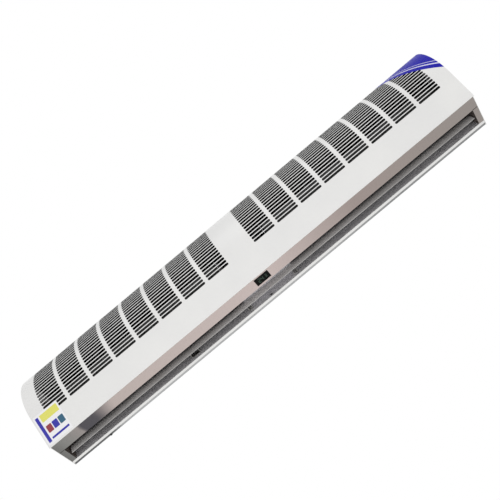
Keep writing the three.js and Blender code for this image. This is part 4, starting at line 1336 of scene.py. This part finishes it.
def annulus(shape, inner, outer, from_x, to_x):
    """A flat ring about the impellers' axis."""
    loops = []
    for x in (from_x, to_x):
        for radius in (inner, outer):
            loop = []
            for step in range(ROUND_STEPS):
                turn = 2 * math.pi * step / ROUND_STEPS
                y = spin[1] + radius * math.cos(turn)
                z = spin[2] + radius * math.sin(turn)
                loop.append(shape.verts.new((x, y, z)))
            loops.append(loop)
    for a, b in ((0, 1), (1, 3), (3, 2), (2, 0)):
        for step in range(ROUND_STEPS):
            after = (step + 1) % ROUND_STEPS
            shape.faces.new((loops[a][step], loops[a][after], loops[b][after], loops[b][step]))


def impeller(side):
    """One drum of blades, rings and end discs."""
    extent = span(f"impeller_{side}")["x"]
    inner, outer = sorted(extent, key=abs)
    way = 1 if outer > 0 else -1
    shape = bmesh.new()
    annulus(shape, HUB_HOLE, wheel_radius, inner, inner + way * DISC_SHEET)
    annulus(shape, STUB_HOLE, wheel_radius, outer - way * DISC_SHEET, outer)
    rings = round(abs(outer - inner) / RING_SPACING) - 1
    for i in range(1, rings + 1):
        middle = inner + (outer - inner) * i / (rings + 1)
        faces = (middle - BLADE_SHEET / 2, middle + BLADE_SHEET / 2)
        annulus(shape, wheel_radius - RING_WIDTH, wheel_radius, *faces)
    blade_reach = (inner + way * DISC_SHEET / 2, outer - way * DISC_SHEET / 2)
    for i in range(BLADES):
        run_section(shape, blade_outline(2 * math.pi * i / BLADES), *blade_reach)
    # The drum's near-black finish is mostly painted shade.
    drum = add_piece(f"impeller_drum_{side}", shape, black_lacquer_and_shade, "rotor")
    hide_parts(f"impeller_{side}")
    print(drum.name, "rings", rings, "faces", len(drum.data.polygons))


impeller("left")
impeller("right")

# %% [markdown]
# ## The outlet vane
#
# The vane is a slim aluminium extrusion, lacquered silver-grey, with a slight bow and rounded
# edges. A section of an arc with a half-round at each edge, run along X, is just what the
# extrusion press makes.

# %% Vane
VANE_SHEET = 0.0016
VANE_CAMBER = 0.0015
VANE_WIDTH = 0.0285
ARC_STEPS = 12
EDGE_STEPS = 6

vane = span("louvre_vane")
vane_middle = sum(vane["height"]) / 2
vane_rear = vane["depth"][0]


def vane_outline():
    """The bowed blade with round edges."""
    radius = VANE_SHEET / 2
    reach = VANE_WIDTH / 2 - radius

    def face(share, offset):
        depth = vane_rear + radius + offset + VANE_CAMBER * (1 - share * share)
        return at(depth, vane_middle + share * reach)

    def edge(way):
        points = []
        for i in range(1, EDGE_STEPS):
            turn = math.pi * i / EDGE_STEPS
            depth = vane_rear + radius - way * radius * math.cos(turn)
            points.append(at(depth, vane_middle + way * (reach + radius * math.sin(turn))))
        return points

    shares = [2 * i / ARC_STEPS - 1 for i in range(ARC_STEPS + 1)]
    outline = [face(share, -radius) for share in shares] + edge(1)
    outline += [face(-share, radius) for share in shares] + edge(-1)
    return outline


shape = bmesh.new()
run_section(shape, vane_outline(), *vane["x"])
vane_blade = add_piece("vane_blade", shape, vane_coat, "vane")
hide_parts("louvre_vane")
print("vane", [round(v, 4) for v in vane["x"]])

# %% [markdown]
# ## Screws
#
# The end plates are held by pan-head screws with a cross recess, and two black ones show from
# below. The head is turned from a rounded profile, and the recess is cut with a boolean by two
# crossed wedges, as the punch does.

# %% Screws
HEAD_RADIUS = 0.004
HEAD_RISE = 0.0022
SIDE_SHARE = 0.45  # of the rise, below the dome
HEAD_STEPS = 24
DOME_STEPS = 8
RECESS_WIDTH = 0.0009
RECESS_REACH = 0.0022
RECESS_DEPTH = 0.0013
BOTTOM_SHARE = 0.45  # of the reach, at the recess's bottom
MOUTH_SHARE = 1.15  # of the reach, where the punch leaves the head
OVERCUT = 0.001


def cross_axes(out):
    """Two directions square to a screw's own and to each other."""
    side_axis = out.orthogonal().normalized()
    return side_axis, out.cross(side_axis)


def turned_head(shape, origin, out):
    """A domed screw head on its seat, facing along out."""
    side_axis, up_axis = cross_axes(out)
    outline = [(HEAD_RADIUS, 0.0), (HEAD_RADIUS, HEAD_RISE * SIDE_SHARE)]
    for i in range(1, DOME_STEPS):
        turn = math.pi / 2 * i / DOME_STEPS
        lift = HEAD_RISE * (SIDE_SHARE + (1 - SIDE_SHARE) * math.sin(turn))
        outline.append((HEAD_RADIUS * math.cos(turn), lift))
    rings = []
    for radius, lift in outline:
        ring = []
        for step in range(HEAD_STEPS):
            turn = 2 * math.pi * step / HEAD_STEPS
            around = side_axis * math.cos(turn) + up_axis * math.sin(turn)
            ring.append(shape.verts.new(origin + out * lift + around * radius))
        rings.append(ring)
    for low, high in zip(rings, rings[1:]):
        for step in range(HEAD_STEPS):
            after = (step + 1) % HEAD_STEPS
            shape.faces.new((low[step], low[after], high[after], high[step]))
    shape.faces.new(rings[0][::-1])
    shape.faces.new(rings[-1])


def cross_cutter(origin, out):
    """Two crossed wedges where the driver goes."""
    side_axis, up_axis = cross_axes(out)
    bottom = (HEAD_RISE - RECESS_DEPTH, RECESS_REACH * BOTTOM_SHARE)
    mouth = (HEAD_RISE + OVERCUT, RECESS_REACH * MOUTH_SHARE)
    shape = bmesh.new()
    for long_axis, thin_axis in ((side_axis, up_axis), (up_axis, side_axis)):
        half_width = thin_axis * RECESS_WIDTH / 2
        loops = []
        for lift, reach in (bottom, mouth):
            near = origin + out * lift - long_axis * reach
            far = origin + out * lift + long_axis * reach
            loop = [near - half_width, far - half_width]
            loops.append(loop + [far + half_width, near + half_width])
        prism(shape, *loops)
    return object_of("cross_cutter", shape)


def pan_screw(name, origin, out, finish):
    """A pan head with a cross recess."""
    shape = bmesh.new()
    turned_head(shape, origin, out)
    screw = add_piece(name, shape, finish, "case")
    cutter = cross_cutter(origin, out)
    recess = screw.modifiers.new("recess", "BOOLEAN")
    recess.object = cutter
    recess.operation = "DIFFERENCE"
    recess.use_self = True
    apply_modifiers(screw)
    bpy.data.objects.remove(cutter)
    return screw


for name in ends("end_screw_rear_low", "end_screw_rear_high", "end_screw_frame"):
    low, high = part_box(name)
    way = 1 if low[0] > 0 else -1
    out_x = high[0] if way > 0 else low[0]
    middle = Vector((out_x - way * HEAD_RISE, (low[1] + high[1]) / 2, (low[2] + high[2]) / 2))
    title = name.replace("end_screw", "pan_screw")
    screw = pan_screw(title, middle, Vector((way, 0, 0)), plated_steel)
    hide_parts(name)

# One more, black, holds the plate that blanks off the outlet under the motor.
BLANK_SCREW_X = -0.011
BLANK_SCREW_HEIGHT = 0.0078
BLANK_SHEET = 0.001
blank_face = span("blanking_plate")["depth"][0] + BLANK_SHEET
middle = Vector((BLANK_SCREW_X, *at(blank_face, BLANK_SCREW_HEIGHT)))
pan_screw("blank_screw", middle, Vector((0, -1, 0)), black_nylon)

# Another, near the left, holds the bare flange behind the lip.
FLANGE_SCREW_X = -0.614
FLANGE_SCREW_DEPTH = 0.0135
middle = Vector((FLANGE_SCREW_X, *at(FLANGE_SCREW_DEPTH, FLANGE_RISE)))
pan_screw("flange_screw", middle, Vector((0, 0, -1)), black_nylon)
print("screw heads", 2 * HEAD_RADIUS * 1000, "mm across")

# %% [markdown]
# ## The display
#
# A smoked window sits flush in the polished strip, and a two-digit readout glows green in it. Of
# the seven pointed bars that a digit can light, those of a 2 and a 4 are made, and three bars
# beside them show a level. The window's face lies a hair inside the strip, and the bars lie
# between the two, so nothing stands proud of the case.

# %% Display window
WINDOW_INSET = 0.00015
RIM_INSET = 0.0013
RIM_WIDTH = 0.0015

window = span("display_window")
window_top = window["height"][1]
shape = bmesh.new()
for step, low in ((RIM_WIDTH, WINDOW_INSET), (0.0, RIM_INSET)):
    rear, front = window["depth"][0] + step, window["depth"][1] - step
    outline = [at(rear, low), at(front, low), at(front, window_top), at(rear, window_top)]
    run_section(shape, outline, window["x"][0] + step, window["x"][1] - step)
smoked_window = add_piece("smoked_window", shape, smoked_acrylic, "case")
rounding = smoked_window.modifiers.new("edge_break", "BEVEL")
rounding.width = MOULD_BREAK
rounding.segments = 3
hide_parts("display_window")
print("window", [round(v, 4) for v in window["x"]])

# %% Readout: the glow
GLOW_GRAIN = 0.0011

readout_glow = grained_finish(
    "green readout glow",
    GLOW_GRAIN,
    2.0,
    ((0.0, "#2C4136"), (1.0, "#384D41")),
    {"Roughness": 0.4, "IOR": 1.49, "Emission Strength": 0.1},
    coloured=("Base Color", "Emission Color"),
)

# %% Readout: digits and level
READING = "24"
READING_START = -0.0135
DIGIT_WIDTH = 0.0062
DIGIT_STEP = 0.0095
DIGIT_HALF = 0.00625
LIT_BAR = 0.0016
BAR_GAP = 0.00016
BAR_INSET = 0.00002
BAR_THICK = 0.00008
LEVEL_BARS = 3
LEVEL_START = 0.0095
LEVEL_WIDTH = 0.006
LEVEL_PITCH = 0.004
SEGMENTS = {"2": "abged", "4": "fgbc"}
BAR_ENDS = {
    "a": ((0, DIGIT_HALF), (DIGIT_WIDTH, DIGIT_HALF)),
    "b": ((DIGIT_WIDTH, DIGIT_HALF), (DIGIT_WIDTH, 0)),
    "c": ((DIGIT_WIDTH, 0), (DIGIT_WIDTH, -DIGIT_HALF)),
    "d": ((0, -DIGIT_HALF), (DIGIT_WIDTH, -DIGIT_HALF)),
    "e": ((0, 0), (0, -DIGIT_HALF)),
    "f": ((0, DIGIT_HALF), (0, 0)),
    "g": ((0, 0), (DIGIT_WIDTH, 0)),
}
window_middle = sum(window["depth"]) / 2


def add_bar(shape, start, end, origin_x):
    """One pointed bar lying in the window's plane. Up the digit is towards the front."""
    a, b = Vector(start), Vector(end)
    along = (b - a).normalized()
    across = Vector((-along.y, along.x)) * LIT_BAR / 2
    tip = along * BAR_GAP
    nose = tip + along * LIT_BAR / 2
    flat = [a + tip, a + nose + across, b - nose + across]
    flat += [b - tip, b - nose - across, a + nose - across]
    loops = []
    for height in (BAR_INSET, BAR_INSET + BAR_THICK):
        loops.append([(origin_x + p.x, *at(window_middle + p.y, height)) for p in flat])
    prism(shape, *loops)


shape = bmesh.new()
for i, figure in enumerate(READING):
    for segment in SEGMENTS[figure]:
        add_bar(shape, *BAR_ENDS[segment], READING_START + i * DIGIT_STEP)
for i in range(LEVEL_BARS):
    up = (i - (LEVEL_BARS - 1) / 2) * LEVEL_PITCH
    add_bar(shape, (0, up), (LEVEL_WIDTH, up), LEVEL_START)
add_piece("readout", shape, readout_glow, "case")
print("readout", READING)

# %% Sizes, view settings and the end
bpy.context.scene.view_settings.view_transform = "Standard"
low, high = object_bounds()
print("visual box", [round(v, 4) for v in low], [round(v, 4) for v in high])
